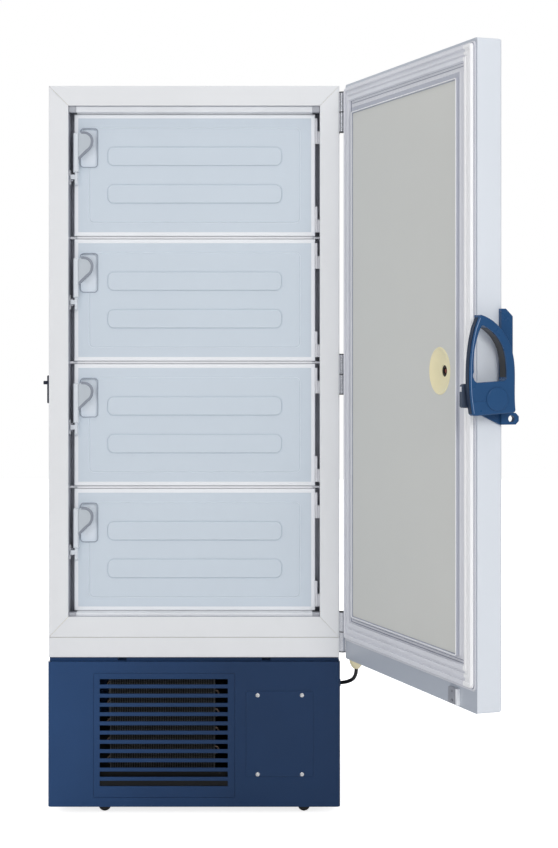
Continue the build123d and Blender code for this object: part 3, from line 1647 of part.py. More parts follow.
def door_cable():
    # Straight runs joined by the largest tangent arcs that they allow.
    points = [Vector(*point) for point in cable_route]
    turn_radii = []
    for before, corner, after in zip(points, points[1:], points[2:]):
        turn = (corner - before).get_angle(after - corner)
        shorter = min((corner - before).length, (after - corner).length)
        turn_radii.append(0.45 * shorter / (sin(radians(turn / 2)) / cos(radians(turn / 2))))
    path = FilletPolyline(*points, radius=turn_radii)
    section = Plane(points[0], z_dir=points[1] - points[0]) * Circle(cable_radius)
    tube = sweep(section, path)
    print("cable radii", [round(r, 1) for r in turn_radii], "length", round(path.length, 1))
    print("volume share", round(tube.volume / (section.area * path.length), 4))
    return tube


def main():
    os.makedirs("parts", exist_ok=True)
    save("outer_case", outer_case())
    save("back_panel", back_panel())
    save("access_port", access_port())
    save("face_frame", face_frame())
    save("front_fascia", front_fascia())
    save("inner_liner", inner_liner())
    save("foam_body", foam_body())
    save("breaker_strips", breaker_strips())
    save("divider_rails", divider_rails())
    save("shelves", shelves())
    for number, centre in enumerate(inner_door_centres, 1):
        save(f"inner_door_panel_{number}", inner_door_panel(centre))
        save(f"inner_door_frame_{number}", inner_door_frame(centre))
    save("inner_hinge_leaves", inner_hinge_leaves())
    save("inner_catches", inner_strikers())
    save("door_shell", swing(door_shell()))
    save("door_foam", swing(door_foam()))
    save("door_liner", swing(door_liner()))
    save("door_inner_plate", swing(door_inner_plate()))
    save("door_gasket", swing(door_gasket()))
    save("relief_port", [swing(piece) for piece in [relief_port()] + relief_valve()])
    save("door_sensor_bracket", [swing(piece) for piece in door_bottom_bracket()])
    save("cable_gland", swing(cable_gland()))
    save("control_panel", [swing(piece) for piece in control_panel()])
    save("display_glass", swing(display_glass()))
    save("door_hinges", [swing(piece) for piece in door_hinges()])
    save("handle_bracket", swing(handle_bracket()))
    save("handle_lever", [swing(piece) for piece in handle_lever()])
    save("cabinet_hinges", cabinet_hinges())
    save("door_striker", door_striker())
    save("base_frame", base_frame())
    save("base_front_cover", base_front_cover())
    save("intake_grille", intake_grille())
    save("service_plate", service_plate())
    save("base_screws", base_screws())
    save("base_side_covers", base_side_covers())
    save("base_rear_grille", base_rear_grille())
    save("condenser", condenser())
    save("fan_housing", fan_shroud(), fan_motor())
    save("fan_blade", fan_blade())
    save("compressors", compressors())
    save("refrigeration_parts", refrigeration_parts())
    save("control_box", control_box())
    save("power_inlet", power_inlet())
    save("castor_plates", castor_plates())
    for corner, (x, y) in castor_corners.items():
        save(f"castor_fork_{corner}", castor_fork(x, y, corner.startswith("front")))
        save(f"castor_wheel_{corner}", castor_wheel(x, y))
    save("door_cable", door_cable())


main()
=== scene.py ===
import json
from math import atan2, cos, hypot, pi, radians, sin

import bmesh
import bpy
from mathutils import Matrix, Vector

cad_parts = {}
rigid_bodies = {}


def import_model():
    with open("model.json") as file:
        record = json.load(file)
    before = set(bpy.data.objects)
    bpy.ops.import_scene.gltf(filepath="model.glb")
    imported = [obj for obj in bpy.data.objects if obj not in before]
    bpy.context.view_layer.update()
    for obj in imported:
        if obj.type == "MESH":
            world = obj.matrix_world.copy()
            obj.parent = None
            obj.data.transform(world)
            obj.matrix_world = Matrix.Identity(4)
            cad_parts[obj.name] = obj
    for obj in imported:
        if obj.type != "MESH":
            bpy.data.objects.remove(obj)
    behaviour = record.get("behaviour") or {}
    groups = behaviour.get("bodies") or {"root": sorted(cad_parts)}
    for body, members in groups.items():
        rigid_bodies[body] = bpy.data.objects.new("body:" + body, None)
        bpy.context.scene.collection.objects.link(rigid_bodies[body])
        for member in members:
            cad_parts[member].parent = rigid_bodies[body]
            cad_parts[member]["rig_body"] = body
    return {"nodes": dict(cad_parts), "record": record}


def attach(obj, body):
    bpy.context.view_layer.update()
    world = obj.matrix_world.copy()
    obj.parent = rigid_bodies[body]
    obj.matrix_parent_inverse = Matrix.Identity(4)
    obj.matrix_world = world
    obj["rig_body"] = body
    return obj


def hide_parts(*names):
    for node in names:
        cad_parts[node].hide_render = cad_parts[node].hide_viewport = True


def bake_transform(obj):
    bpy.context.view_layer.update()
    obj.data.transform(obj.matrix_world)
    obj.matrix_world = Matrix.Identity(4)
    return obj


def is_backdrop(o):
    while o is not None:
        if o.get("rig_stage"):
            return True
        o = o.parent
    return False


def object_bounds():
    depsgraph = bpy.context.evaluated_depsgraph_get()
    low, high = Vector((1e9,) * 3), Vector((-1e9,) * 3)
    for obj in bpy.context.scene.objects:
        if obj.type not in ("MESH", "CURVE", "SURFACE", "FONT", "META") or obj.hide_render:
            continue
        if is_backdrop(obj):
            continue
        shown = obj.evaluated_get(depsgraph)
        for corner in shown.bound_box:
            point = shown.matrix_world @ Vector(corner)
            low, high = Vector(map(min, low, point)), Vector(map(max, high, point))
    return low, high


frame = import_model()
cadNodes = frame["nodes"]
slotOf = {row["node"]: row["material_slot"] for row in frame["record"]["subparts"]}
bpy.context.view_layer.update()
scene = bpy.context.scene
print("frame loaded:", len(cadNodes), "nodes")

# Camera and light

camera = {
    "place": (0.2308, -5.204, 1.2627),
    "lens": 75.1,
    "sensor": 36.0,
    "shiftUp": -0.0877,
}
cameraData = bpy.data.cameras.new("camera")
cameraObject = bpy.data.objects.new("camera", cameraData)
scene.collection.objects.link(cameraObject)
cameraObject.location = camera["place"]
cameraObject.rotation_euler = (radians(90), 0, 0)
cameraData.lens = camera["lens"]
cameraData.sensor_width = camera["sensor"]
cameraData.shift_y = camera["shiftUp"]
cameraData.clip_end = 60
scene.camera = cameraObject

studio = {
    "backdrop": (1.0, 1.0, 1.0),
    "backdropStrength": 1.0,
    "sky": (0.955, 0.965, 1.0),
    "skyStrength": 0.56,
    "mirrorStrength": 0.16,
    "floorTone": (0.93, 0.93, 0.93),
    "floorGlow": 0.8,
    "floorReach": 12,
    "floorRough": 0.9,
    "lamps": {
        # name: (place, aim, width, height, power)
        "keyLamp": ((1.9, -5.2, 2.8), (0.0, -0.4, 1.1), 1.5, 1.5, 62.0),
        "fillLamp": ((-2.4, -4.4, 2.4), (0.2, -0.4, 1.1), 1.8, 2.4, 20.0),
        "topLamp": ((0.2, -0.6, 4.4), (0.1, -0.3, 0.0), 3.0, 3.0, 24.0),
        "backLamp": ((-1.8, 3.6, 2.8), (0.0, 0.2, 1.0), 2.6, 2.6, 32.0),
    },
}
world = bpy.data.worlds.new("studioSky")
world.use_nodes = True
sky = world.node_tree.nodes["Background"]
sky.inputs["Color"].default_value = (*studio["sky"], 1)
sky.inputs["Strength"].default_value = studio["skyStrength"]
backdrop = world.node_tree.nodes.new("ShaderNodeBackground")
backdrop.inputs["Color"].default_value = (*studio["backdrop"], 1)
backdrop.inputs["Strength"].default_value = studio["backdropStrength"]
mirrored = world.node_tree.nodes.new("ShaderNodeBackground")
mirrored.inputs["Color"].default_value = (*studio["sky"], 1)
mirrored.inputs["Strength"].default_value = studio["mirrorStrength"]
rays = world.node_tree.nodes.new("ShaderNodeLightPath")
shown = sky.outputs[0]
for ray, light in (("Is Glossy Ray", mirrored), ("Is Camera Ray", backdrop)):
    # Glossy finishes see a darker room, and the camera sees a white backdrop.
    change = world.node_tree.nodes.new("ShaderNodeMixShader")
    world.node_tree.links.new(rays.outputs[ray], change.inputs[0])
    world.node_tree.links.new(shown, change.inputs[1])
    world.node_tree.links.new(light.outputs[0], change.inputs[2])
    shown = change.outputs[0]
world.node_tree.links.new(shown, world.node_tree.nodes["World Output"].inputs["Surface"])
scene.world = world
scene.view_settings.view_transform = "Standard"
for name, (place, aim, width, height, power) in studio["lamps"].items():
    lampData = bpy.data.lights.new(name, "AREA")
    lampData.shape = "RECTANGLE"
    lampData.size, lampData.size_y, lampData.energy = width, height, power
    lamp = bpy.data.objects.new(name, lampData)
    lamp.location = place
    lamp.rotation_euler = (Vector(aim) - Vector(place)).to_track_quat("-Z", "Y").to_euler()
    scene.collection.objects.link(lamp)
print("camera and lamps set")


# Materials: one maker, a dictionary of finishes

def linear(tone):
    # From the usual 0 to 255 screen values to linear light.
    shares = [value / 255 for value in tone]
    return tuple(v / 12.92 if v <= 0.04045 else ((v + 0.055) / 1.055) ** 2.4 for v in shares)


def addNode(tree, kind, **values):
    node = tree.nodes.new(kind)
    for key, value in values.items():
        if key.startswith("in"):
            node.inputs[int(key[2:])].default_value = value
        else:
            setattr(node, key, value)
    return node


def noiseOn(tree, coordinates, scale, detail=3.0, roughness=0.55):
    noise = tree.nodes.new("ShaderNodeTexNoise")
    noise.inputs["Scale"].default_value = scale
    noise.inputs["Detail"].default_value = detail
    noise.inputs["Roughness"].default_value = roughness
    tree.links.new(coordinates, noise.inputs["Vector"])
    return noise


def mapRange(tree, source, low, high, start=0.3, end=0.7):
    ranged = tree.nodes.new("ShaderNodeMapRange")
    ranged.inputs["From Min"].default_value = start
    ranged.inputs["From Max"].default_value = end
    ranged.inputs["To Min"].default_value = low
    ranged.inputs["To Max"].default_value = high
    tree.links.new(source, ranged.inputs["Value"])
    return ranged.outputs["Result"]


# Scale of the slow clouds of tone and of the wear, and how fine wear and grain are
texture = {"cloud": 5.0, "wear": 14.0, "wearDetail": 4.0, "grainDetail": 2.0}


def makeFinish(name, look):
    # Colour drifts slowly, roughness drifts a little faster, and the grain is fine bump.
    made = bpy.data.materials.new(name)
    made.use_nodes = True
    tree = made.node_tree
    shader = tree.nodes["Principled BSDF"]
    coordinates = tree.nodes.new("ShaderNodeTexCoord").outputs["Object"]
    stretch = look.get("stretch")
    if stretch:
        mapping = tree.nodes.new("ShaderNodeMapping")
        mapping.inputs["Scale"].default_value = stretch
        tree.links.new(coordinates, mapping.inputs["Vector"])
        grainFrom = mapping.outputs["Vector"]
    else:
        grainFrom = coordinates
    tone = linear(look["tone"])
    drift = look.get("drift", 0.04)
    cloud = noiseOn(tree, coordinates, texture["cloud"])
    mix = tree.nodes.new("ShaderNodeMix")
    mix.data_type = "RGBA"
    mix.inputs["A"].default_value = (*[v * (1 - drift) for v in tone], 1)
    mix.inputs["B"].default_value = (*[min(1.0, v * (1 + drift)) for v in tone], 1)
    tree.links.new(mapRange(tree, cloud.outputs["Fac"], 0, 1), mix.inputs["Factor"])
    colour = mix.outputs["Result"]
    if "dust" in look:
        # Fine speckle of a second tone, as in textured paint and foam.
        speck = noiseOn(tree, coordinates, look["dust"]["scale"], texture["grainDetail"])
        fleck = tree.nodes.new("ShaderNodeMix")
        fleck.data_type = "RGBA"
        fleck.inputs["B"].default_value = (*linear(look["dust"]["tone"]), 1)
        tree.links.new(colour, fleck.inputs["A"])
        amount = mapRange(tree, speck.outputs["Fac"], 0, look["dust"]["share"], 0.45, 0.75)
        tree.links.new(amount, fleck.inputs["Factor"])
        colour = fleck.outputs["Result"]
    if "shadeRamp" in look:
        # Painted light and shade: a slow change of tone along one axis, from the low to the high place.
        parts = tree.nodes.new("ShaderNodeSeparateXYZ")
        tree.links.new(coordinates, parts.inputs["Vector"])
        low, high = look["shadeRamp"]["span"]
        share = mapRange(tree, parts.outputs[look["shadeRamp"]["axis"]], 0, 1, low, high)
        shadeRampMix = tree.nodes.new("ShaderNodeMix")
        shadeRampMix.data_type = "RGBA"
        shadeRampMix.blend_type = "MULTIPLY"
        shadeRampMix.inputs["Factor"].default_value = 1.0
        ramp = tree.nodes.new("ShaderNodeValToRGB")
        ramp.color_ramp.elements[0].color = (*[look["shadeRamp"]["from"]] * 3, 1)
        ramp.color_ramp.elements[1].color = (*[look["shadeRamp"]["to"]] * 3, 1)
        tree.links.new(share, ramp.inputs["Fac"])
        tree.links.new(colour, shadeRampMix.inputs["A"])
        tree.links.new(ramp.outputs["Color"], shadeRampMix.inputs["B"])
        colour = shadeRampMix.outputs["Result"]
    if "side" in look:
        # Painted light and shade: the face of a sheet beyond a place along one direction takes a second
        # tone, lighter for painted light and darker for painted shade.
        side = look["side"]
        along = tree.nodes.new("ShaderNodeVectorMath")
        along.operation = "DOT_PRODUCT"
        along.inputs[1].default_value = side["facing"]
        tree.links.new(coordinates, along.inputs[0])
        beyond = addNode(tree, "ShaderNodeMath", operation="GREATER_THAN", in1=side["beyond"])
        tree.links.new(along.outputs["Value"], beyond.inputs[0])
        facing = tree.nodes.new("ShaderNodeMix")
        facing.data_type = "RGBA"
        facing.inputs["B"].default_value = (*linear(side["tone"]), 1)
        tree.links.new(beyond.outputs[0], facing.inputs["Factor"])
        tree.links.new(colour, facing.inputs["A"])
        colour = facing.outputs["Result"]
    tree.links.new(colour, shader.inputs["Base Color"])
    rough = look.get("rough", 0.4)
    spread = look.get("roughDrift", 0.05)
    shader.inputs["Roughness"].default_value = rough
    if spread:
        wear = noiseOn(tree, coordinates, texture["wear"], texture["wearDetail"])
        worn = mapRange(tree, wear.outputs["Fac"], rough - spread, rough + spread)
        tree.links.new(worn, shader.inputs["Roughness"])
    shader.inputs["Metallic"].default_value = look.get("metal", 0.0)
    shader.inputs["Specular IOR Level"].default_value = look.get("specular", 0.5)
    grain = noiseOn(tree, grainFrom, look["grain"], texture["grainDetail"])
    bump = tree.nodes.new("ShaderNodeBump")
    bump.inputs["Strength"].default_value = look.get("bump", 0.12)
    bump.inputs["Distance"].default_value = look.get("bumpHeight", 0.0002)
    tree.links.new(grain.outputs["Fac"], bump.inputs["Height"])
    tree.links.new(bump.outputs["Normal"], shader.inputs["Normal"])
    return made


# The open door: hinge line, turn from closed, and the ways that its inner side and its free edge face

doorPlaces = {
    "hinge": (0.403, -0.401),
    "turn": radians(110.3),
    "innerFacing": (-0.93789, -0.34694, 0.0),
    "edgeFacing": (0.34694, -0.93789, 0.0),
}


def onOpenDoor(spot):
    # A place on the closed door, carried to the open one.
    hingeX, hingeY = doorPlaces["hinge"]
    across, deep = spot[0] - hingeX, spot[1] - hingeY
    c, s = cos(doorPlaces["turn"]), sin(doorPlaces["turn"])
    return Vector((hingeX + c * across - s * deep, hingeY + s * across + c * deep, spot[2]))


def depthOnDoor(y):
    # How far a depth of the closed door lies along the direction its inner side faces.
    return onOpenDoor((0.0, y, 0.0)).dot(Vector(doorPlaces["innerFacing"]))


# The depths past which the shell and the lining take a painted shade, and the far lip of the seal, past
# which the seal takes painted light
doorPlaces["flange"] = depthOnDoor(-0.4073)
doorPlaces["plugTop"] = depthOnDoor(-0.3963)
farLip = onOpenDoor((-0.3440, -0.401, 0.0))
doorPlaces["farSeal"] = farLip.dot(Vector(doorPlaces["edgeFacing"]))


finishes = {
    "casePaint": {
        "tone": (232, 234, 236), "rough": 0.36, "grain": 900, "bump": 0.10, "drift": 0.01, "roughDrift": 0,
    },
    "framePaint": {"tone": (238, 239, 240), "rough": 0.34, "grain": 900, "bump": 0.10, "drift": 0.01},
    "doorPaint": {
        "tone": (228, 233, 239), "rough": 0.33, "grain": 900, "bump": 0.10,
        "drift": 0.008, "roughDrift": 0.01,
        # Painted shade: the inner face of the shell past the flange is darker.
        "side": {
            "facing": doorPlaces["innerFacing"], "beyond": doorPlaces["flange"], "tone": (194, 200, 209),
        },
    },
    "linerSteel": {
        "tone": (192, 195, 204), "metal": 0.15, "rough": 0.30, "stretch": (1.5, 420, 420),
        "grain": 6.0, "bump": 0.12, "bumpHeight": 0.0001, "drift": 0.015, "roughDrift": 0.015,
    },
    "innerPanelPaint": {
        "tone": (213, 223, 232), "rough": 0.36, "grain": 1100, "bump": 0.03,
        "drift": 0.008, "roughDrift": 0,
        # Painted light: the pocket walls and floor, deep in the panel, are lighter to offset their shade.
        "side": {"facing": (0, 1, 0), "beyond": -0.3582, "tone": (236, 243, 250)},
    },
    "whitePlastic": {"tone": (247, 249, 252), "rough": 0.40, "grain": 1400, "bump": 0.10, "drift": 0.02},
    "finPlastic": {"tone": (196, 203, 209), "rough": 0.36, "grain": 1400, "bump": 0.08, "drift": 0.02},
    "camPlastic": {"tone": (62, 74, 94), "rough": 0.5, "grain": 1800, "bump": 0.2},
    "pullPlastic": {"tone": (226, 231, 236), "rough": 0.34, "grain": 1400, "bump": 0.08, "drift": 0.02},
    "stripPlastic": {"tone": (238, 240, 243), "rough": 0.42, "grain": 1200, "bump": 0.10},
    "cornerPlastic": {"tone": (182, 184, 190), "rough": 0.45, "grain": 1200, "bump": 0.12},
    "railPlastic": {"tone": (236, 237, 240), "rough": 0.42, "grain": 1200, "bump": 0.12},
    "sealRubber": {
        "tone": (232, 233, 238), "rough": 0.5, "grain": 1600, "bump": 0.08, "drift": 0.02,
        # Painted light: the seal past its far lip is pure white.
        "side": {
            "facing": doorPlaces["edgeFacing"], "beyond": doorPlaces["farSeal"], "tone": (255, 255, 255),
        },
    },
    # Painted highlight: the white line round the door's inner plate.
    "highlightWhite": {"tone": (255, 255, 255), "rough": 0.3, "grain": 1500, "bump": 0.03, "drift": 0.005},
    # Painted shade: the grey lines at the steps of the door's lining.
    "seamShade": {"tone": (150, 153, 168), "rough": 0.5, "grain": 1500, "bump": 0.05},
    "bracketSteel": {"tone": (178, 180, 186), "metal": 0.3, "rough": 0.32, "grain": 900, "bump": 0.08},
    "liningPlastic": {
        "tone": (226, 227, 232), "rough": 0.36, "grain": 1000, "bump": 0.06,
        "drift": 0.01, "roughDrift": 0,
        # Painted shade: the lining past the top of the plug is darker.
        "side": {
            "facing": doorPlaces["innerFacing"], "beyond": doorPlaces["plugTop"], "tone": (188, 191, 202),
        },
    },
    "platePaint": {
        "tone": (219, 219, 213), "rough": 0.48, "grain": 800, "bump": 0.04, "drift": 0.006, "roughDrift": 0,
    },
    "creamPlastic": {"tone": (249, 239, 197), "rough": 0.36, "grain": 1200, "bump": 0.10},
    "darkRubber": {"tone": (44, 36, 32), "rough": 0.60, "grain": 1400, "bump": 0.20},
    "redCore": {"tone": (138, 52, 38), "rough": 0.50, "grain": 1400, "bump": 0.15},
    "bluePlastic": {
        "tone": (38, 79, 123), "rough": 0.28, "grain": 2200, "bump": 0.16, "bumpHeight": 0.00012,
        "drift": 0.05, "specular": 0.3,
    },
    "basePaint": {
        "tone": (38, 71, 115), "rough": 0.38, "grain": 1300, "bump": 0.16, "drift": 0.04, "specular": 0.25,
        # Painted light and shade: the base cover is lighter to the left and darker to the right.
        "shadeRamp": {"axis": "X", "span": (-0.4, 0.1), "from": 1.04, "to": 0.60},
    },
    "hingeSteel": {"tone": (214, 216, 222), "metal": 0.75, "rough": 0.24, "grain": 900, "bump": 0.06},
    "hingeWhite": {"tone": (246, 246, 248), "metal": 0.1, "rough": 0.34, "grain": 900, "bump": 0.06},
    "jointBlack": {"tone": (24, 25, 30), "rough": 0.4, "grain": 900, "bump": 0.1},
    "strikerPaint": {"tone": (30, 38, 58), "rough": 0.38, "grain": 1500, "bump": 0.14},
    # The black of the thin sheet along the loop's inner wall.
    "loopWallBlack": {"tone": (14, 15, 19), "rough": 0.34, "grain": 1800, "bump": 0.12},
    # Painted highlight: the light blue line along the lever's edge.
    "highlightBlue": {"tone": (128, 154, 190), "rough": 0.22, "grain": 1500, "bump": 0.04},
    # Painted shade: the grey line round each finger pocket.
    "rimShade": {"tone": (160, 168, 180), "rough": 0.4, "grain": 1500, "bump": 0.05},
    # Painted shade: the dark band along the edge of each finger pull.
    "lipShade": {"tone": (146, 152, 163), "rough": 0.45, "grain": 1500, "bump": 0.05},
    # Painted shade: the dark blue of the lever's near side.
    "flankShadeBlue": {"tone": (16, 38, 66), "rough": 0.34, "grain": 2200, "bump": 0.12, "specular": 0.3},
    "screwSteel": {"tone": (236, 236, 236), "metal": 0.55, "rough": 0.25, "grain": 1500, "bump": 0.06},
    "chassisSteel": {"tone": (12, 13, 15), "rough": 0.5, "specular": 0.3, "grain": 500, "bump": 0.12},
    "machineBlack": {"tone": (30, 30, 32), "rough": 0.42, "grain": 700, "bump": 0.20},
    "finAluminium": {
        "tone": (84, 86, 88), "metal": 0.4, "rough": 0.5, "grain": 600, "bump": 0.10,
        # Painted shade: the fins go nearly black behind their front edges.
        "shadeRamp": {"axis": "Y", "span": (-0.3718, -0.3705), "from": 1.0, "to": 0.03},
    },
    "copperTube": {"tone": (132, 116, 106), "metal": 0.9, "rough": 0.32, "grain": 500, "bump": 0.10},
    "fanPlastic": {"tone": (28, 28, 30), "rough": 0.5, "grain": 900, "bump": 0.15},
    "displayGlass": {"tone": (12, 15, 20), "rough": 0.08, "grain": 400, "bump": 0.0, "roughDrift": 0.02},
    "wheelRubber": {"tone": (36, 36, 38), "rough": 0.62, "grain": 900, "bump": 0.3},
    "castorSteel": {"tone": (170, 172, 175), "metal": 1.0, "rough": 0.36, "grain": 900, "bump": 0.10},
    "cableRubber": {"tone": (22, 22, 24), "rough": 0.52, "grain": 2500, "bump": 0.2},
    "foamSkin": {
        "tone": (226, 212, 160), "rough": 0.8, "grain": 400, "bump": 0.5, "bumpHeight": 0.0006,
        "dust": {"scale": 600, "tone": (190, 170, 110), "share": 0.6},
    },
}
paint = {name: makeFinish(name, look) for name, look in finishes.items()}
print("finishes made:", len(paint))


# Copies of construction nodes with softened edges, one piece for each finish

def solidsOf(mesh):
    # The faces of each solid: they come one solid after another, and one is whole when no edge is open.
    spots = [tuple(round(value * 1e6) for value in vertex.co) for vertex in mesh.vertices]
    solids, faces, openEdges = [], [], set()
    for face in mesh.polygons:
        corners = [spots[index] for index in face.vertices]
        faces.append([mesh.vertices[index].co for index in face.vertices])
        for start, end in zip(corners, corners[1:] + corners[:1]):
            if (end, start) in openEdges:
                openEdges.remove((end, start))
            else:
                openEdges.add((start, end))
        if not openEdges:
            solids.append(faces)
            faces = []
    if faces:
        solids.append(faces)
    return solids


def boxOf(faces):
    spots = [spot for face in faces for spot in face]
    low = Vector([min(spot[axis] for spot in spots) for axis in range(3)])
    high = Vector([max(spot[axis] for spot in spots) for axis in range(3)])
    return low, high


def addSolid(target, faces):
    # One solid, its triangles joined and its flat faces made whole.
    work = bmesh.new()
    for face in faces:
        work.faces.new([work.verts.new(spot) for spot in face])
    bmesh.ops.remove_doubles(work, verts=work.verts, dist=2e-6)
    bmesh.ops.dissolve_limit(
        work, angle_limit=radians(0.3), verts=work.verts, edges=work.edges, delimit={"NORMAL"}
    )
    mesh = bpy.data.meshes.new("solid")
    work.to_mesh(mesh)
    work.free()
    target.from_mesh(mesh)
    bpy.data.meshes.remove(mesh)


def finishPiece(piece, node, finish, soften, smooth):
    piece.data.materials.clear()
    piece.data.materials.append(paint[finish])
    for face in piece.data.polygons:
        face.use_smooth = True
    piece.data.set_sharp_from_angle(angle=radians(smooth))
    if soften:
        bevel = piece.modifiers.new("softEdges", "BEVEL")
        bevel.width = soften
        bevel.segments = 2
        bevel.limit_method = "ANGLE"
        bevel.angle_limit = radians(smooth)
        bevel.use_clamp_overlap = True
        bevel.harden_normals = True
    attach(piece, cadNodes[node]["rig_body"])
    return piece


def dressNode(node, finish, soften=0.0006, smooth=32, choose=None):
    # finish names one finish, or choose(low, high) gives the finish of each separate solid.
    groups = {}
    for solid in solidsOf(cadNodes[node].data):
        name = choose(*boxOf(solid)) if choose else finish
        addSolid(groups.setdefault(name, bmesh.new()), solid)
    made = []
    for name, part in groups.items():
        mesh = bpy.data.meshes.new(f"{node}_{name}")
        part.to_mesh(mesh)
        part.free()
        piece = bpy.data.objects.new(mesh.name, mesh)
        scene.collection.objects.link(piece)
        width = soften.get(name, 0.0006) if isinstance(soften, dict) else soften
        finishPiece(piece, node, name, width, smooth)
        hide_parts(node)
        made.append(piece)
    return made


def paintNode(node, finish):
    # A node whose shape is right keeps its own mesh and takes a finish.
    target = cadNodes[node]
    if not target.material_slots:
        target.data.materials.append(paint[finish])
    for holder in target.material_slots:
        holder.material = paint[finish]


def meshFrom(holder, name):
    # The evaluated object as a plain mesh object. The source goes.
    graph = bpy.context.evaluated_depsgraph_get()
    mesh = bpy.data.meshes.new_from_object(holder.evaluated_get(graph), depsgraph=graph)
    bpy.data.objects.remove(holder)
    mesh.name = name
    piece = bpy.data.objects.new(name, mesh)
    scene.collection.objects.link(piece)
    return piece


plainNodes = {
    "outer_case": "casePaint",
    "back_panel": "casePaint",
    "foam_body": "foamSkin",
    "door_foam": "foamSkin",
    "base_side_covers": "basePaint",
    "base_rear_grille": "basePaint",
    "control_box": "chassisSteel",
    "shelves": "linerSteel",
    "inner_liner": "linerSteel",
}
for node, finish in plainNodes.items():
    paintNode(node, finish)

softNodes = {
    # node: (finish, edge softening in metres)
    "access_port": ("whitePlastic", 0.0008),
    "face_frame": ("framePaint", 0.0),
    "front_fascia": ("framePaint", 0.0),
    "divider_rails": ("railPlastic", 0.0008),
    "inner_hinge_leaves": ("hingeWhite", 0.0003),
    "cabinet_hinges": ("hingeSteel", 0.0006),
    "door_hinges": ("hingeSteel", 0.0006),
    "door_striker": ("strikerPaint", 0.0),
    "base_front_cover": ("basePaint", 0.0004),
    "intake_grille": ("basePaint", 0.0004),
    "service_plate": ("basePaint", 0.0),
    "door_shell": ("doorPaint", 0.0),
    "door_liner": ("liningPlastic", 0.0006),
    "door_inner_plate": ("platePaint", 0.0006),
    "door_gasket": ("sealRubber", 0.0),
    "cable_gland": ("creamPlastic", 0.0),
    "control_panel": ("bluePlastic", 0.0005),
    "display_glass": ("displayGlass", 0.0004),
    "handle_bracket": ("bluePlastic", 0.0012),
    "fan_blade": ("fanPlastic", 0.0004),
    "fan_housing": ("machineBlack", 0.0004),
    "refrigeration_parts": ("machineBlack", 0.0006),
    "compressors": ("machineBlack", 0.0008),
    "power_inlet": ("machineBlack", 0.0004),
    "castor_plates": ("castorSteel", 0.0006),
}
for corner in ("front_left", "front_right", "rear_left", "rear_right"):
    softNodes[f"castor_fork_{corner}"] = ("castorSteel", 0.0006)
    softNodes[f"castor_wheel_{corner}"] = ("wheelRubber", 0.0005)
for node, (finish, soften) in softNodes.items():
    dressNode(node, finish, soften)
print("nodes dressed:", len(softNodes))

innerDoorSort = {"sealFront": -0.3235, "knuckleLeft": 0.32, "pullFront": -0.3665, "finWidth": 0.03}


def innerDoorFinish(low, high):
    if low.x > innerDoorSort["knuckleLeft"] and high.x > 0.331:
        return "hingeWhite"
    if low.y < innerDoorSort["pullFront"]:
        return "finPlastic" if high.x - low.x > innerDoorSort["finWidth"] else "pullPlastic"
    if low.y > innerDoorSort["sealFront"]:
        return "sealRubber"
    return "whitePlastic"


for number in range(1, 5):
    dressNode(f"inner_door_panel_{number}", "innerPanelPaint", 0.0005)
    dressNode(
        f"inner_door_frame_{number}", None, {"whitePlastic": 0.0, "sealRubber": 0.0}, choose=innerDoorFinish
    )


def stripFinish(low, high):
    return "stripPlastic" if high.x - low.x > 0.1 else "cornerPlastic"


dressNode("breaker_strips", None, 0.0008, choose=stripFinish)


def catchFinish(low, high):
    return "hingeSteel" if high.z - low.z < 0.012 else "whitePlastic"


dressNode("inner_catches", None, 0.0004, choose=catchFinish)


def reliefFinish(low, high):
    width = high.z - low.z
    return "creamPlastic" if width > 0.06 else "darkRubber" if width > 0.02 else "redCore"


dressNode("relief_port", None, 0.0, choose=reliefFinish)


def sensorFinish(low, high):
    return "bracketSteel" if (high - low).length > 0.052 else "whitePlastic"


dressNode("door_sensor_bracket", None, 0.0006, choose=sensorFinish)


def coilFinish(low, high):
    return "copperTube" if high.z - low.z < 0.05 else "finAluminium"


dressNode("condenser", None, 0.0, choose=coilFinish)


def leverFinish(low, high):
    # The cam is the lower of the two solids.
    return "camPlastic" if high.z - low.z < 0.1 else "bluePlastic"


dressNode("handle_lever", None, 0.0010, choose=leverFinish)


def chassisFinish(low, high):
    # The front rail shows over the base cover and is painted with it.
    frontRail = high.x - low.x > 0.7 and high.y < -0.3 and low.z > 0.38
    return "basePaint" if frontRail else "chassisSteel"


dressNode("base_frame", None, 0.0, choose=chassisFinish)
print("split nodes dressed")

# Pieces that repeat, each from a small tree of geometry nodes


def startTree(name, sizes):
    # A tree with a geometry input, one named number for each size, and a geometry output.
    tree = bpy.data.node_groups.new(name, "GeometryNodeTree")
    tree.interface.new_socket("Geometry", in_out="INPUT", socket_type="NodeSocketGeometry")
    for size in sizes:
        tree.interface.new_socket(size, in_out="INPUT", socket_type="NodeSocketFloat")
    tree.interface.new_socket("Turn", in_out="INPUT", socket_type="NodeSocketVector")
    tree.interface.new_socket("Finish", in_out="INPUT", socket_type="NodeSocketMaterial")
    tree.interface.new_socket("Geometry", in_out="OUTPUT", socket_type="NodeSocketGeometry")
    return tree, tree.nodes.new("NodeGroupInput"), tree.nodes.new("NodeGroupOutput")


def join(tree, source, node, key):
    tree.links.new(source, node.inputs[key])
    return node


def times(tree, source, factor):
    node = addNode(tree, "ShaderNodeMath", operation="MULTIPLY", in1=factor)
    return join(tree, source, node, 0).outputs[0]


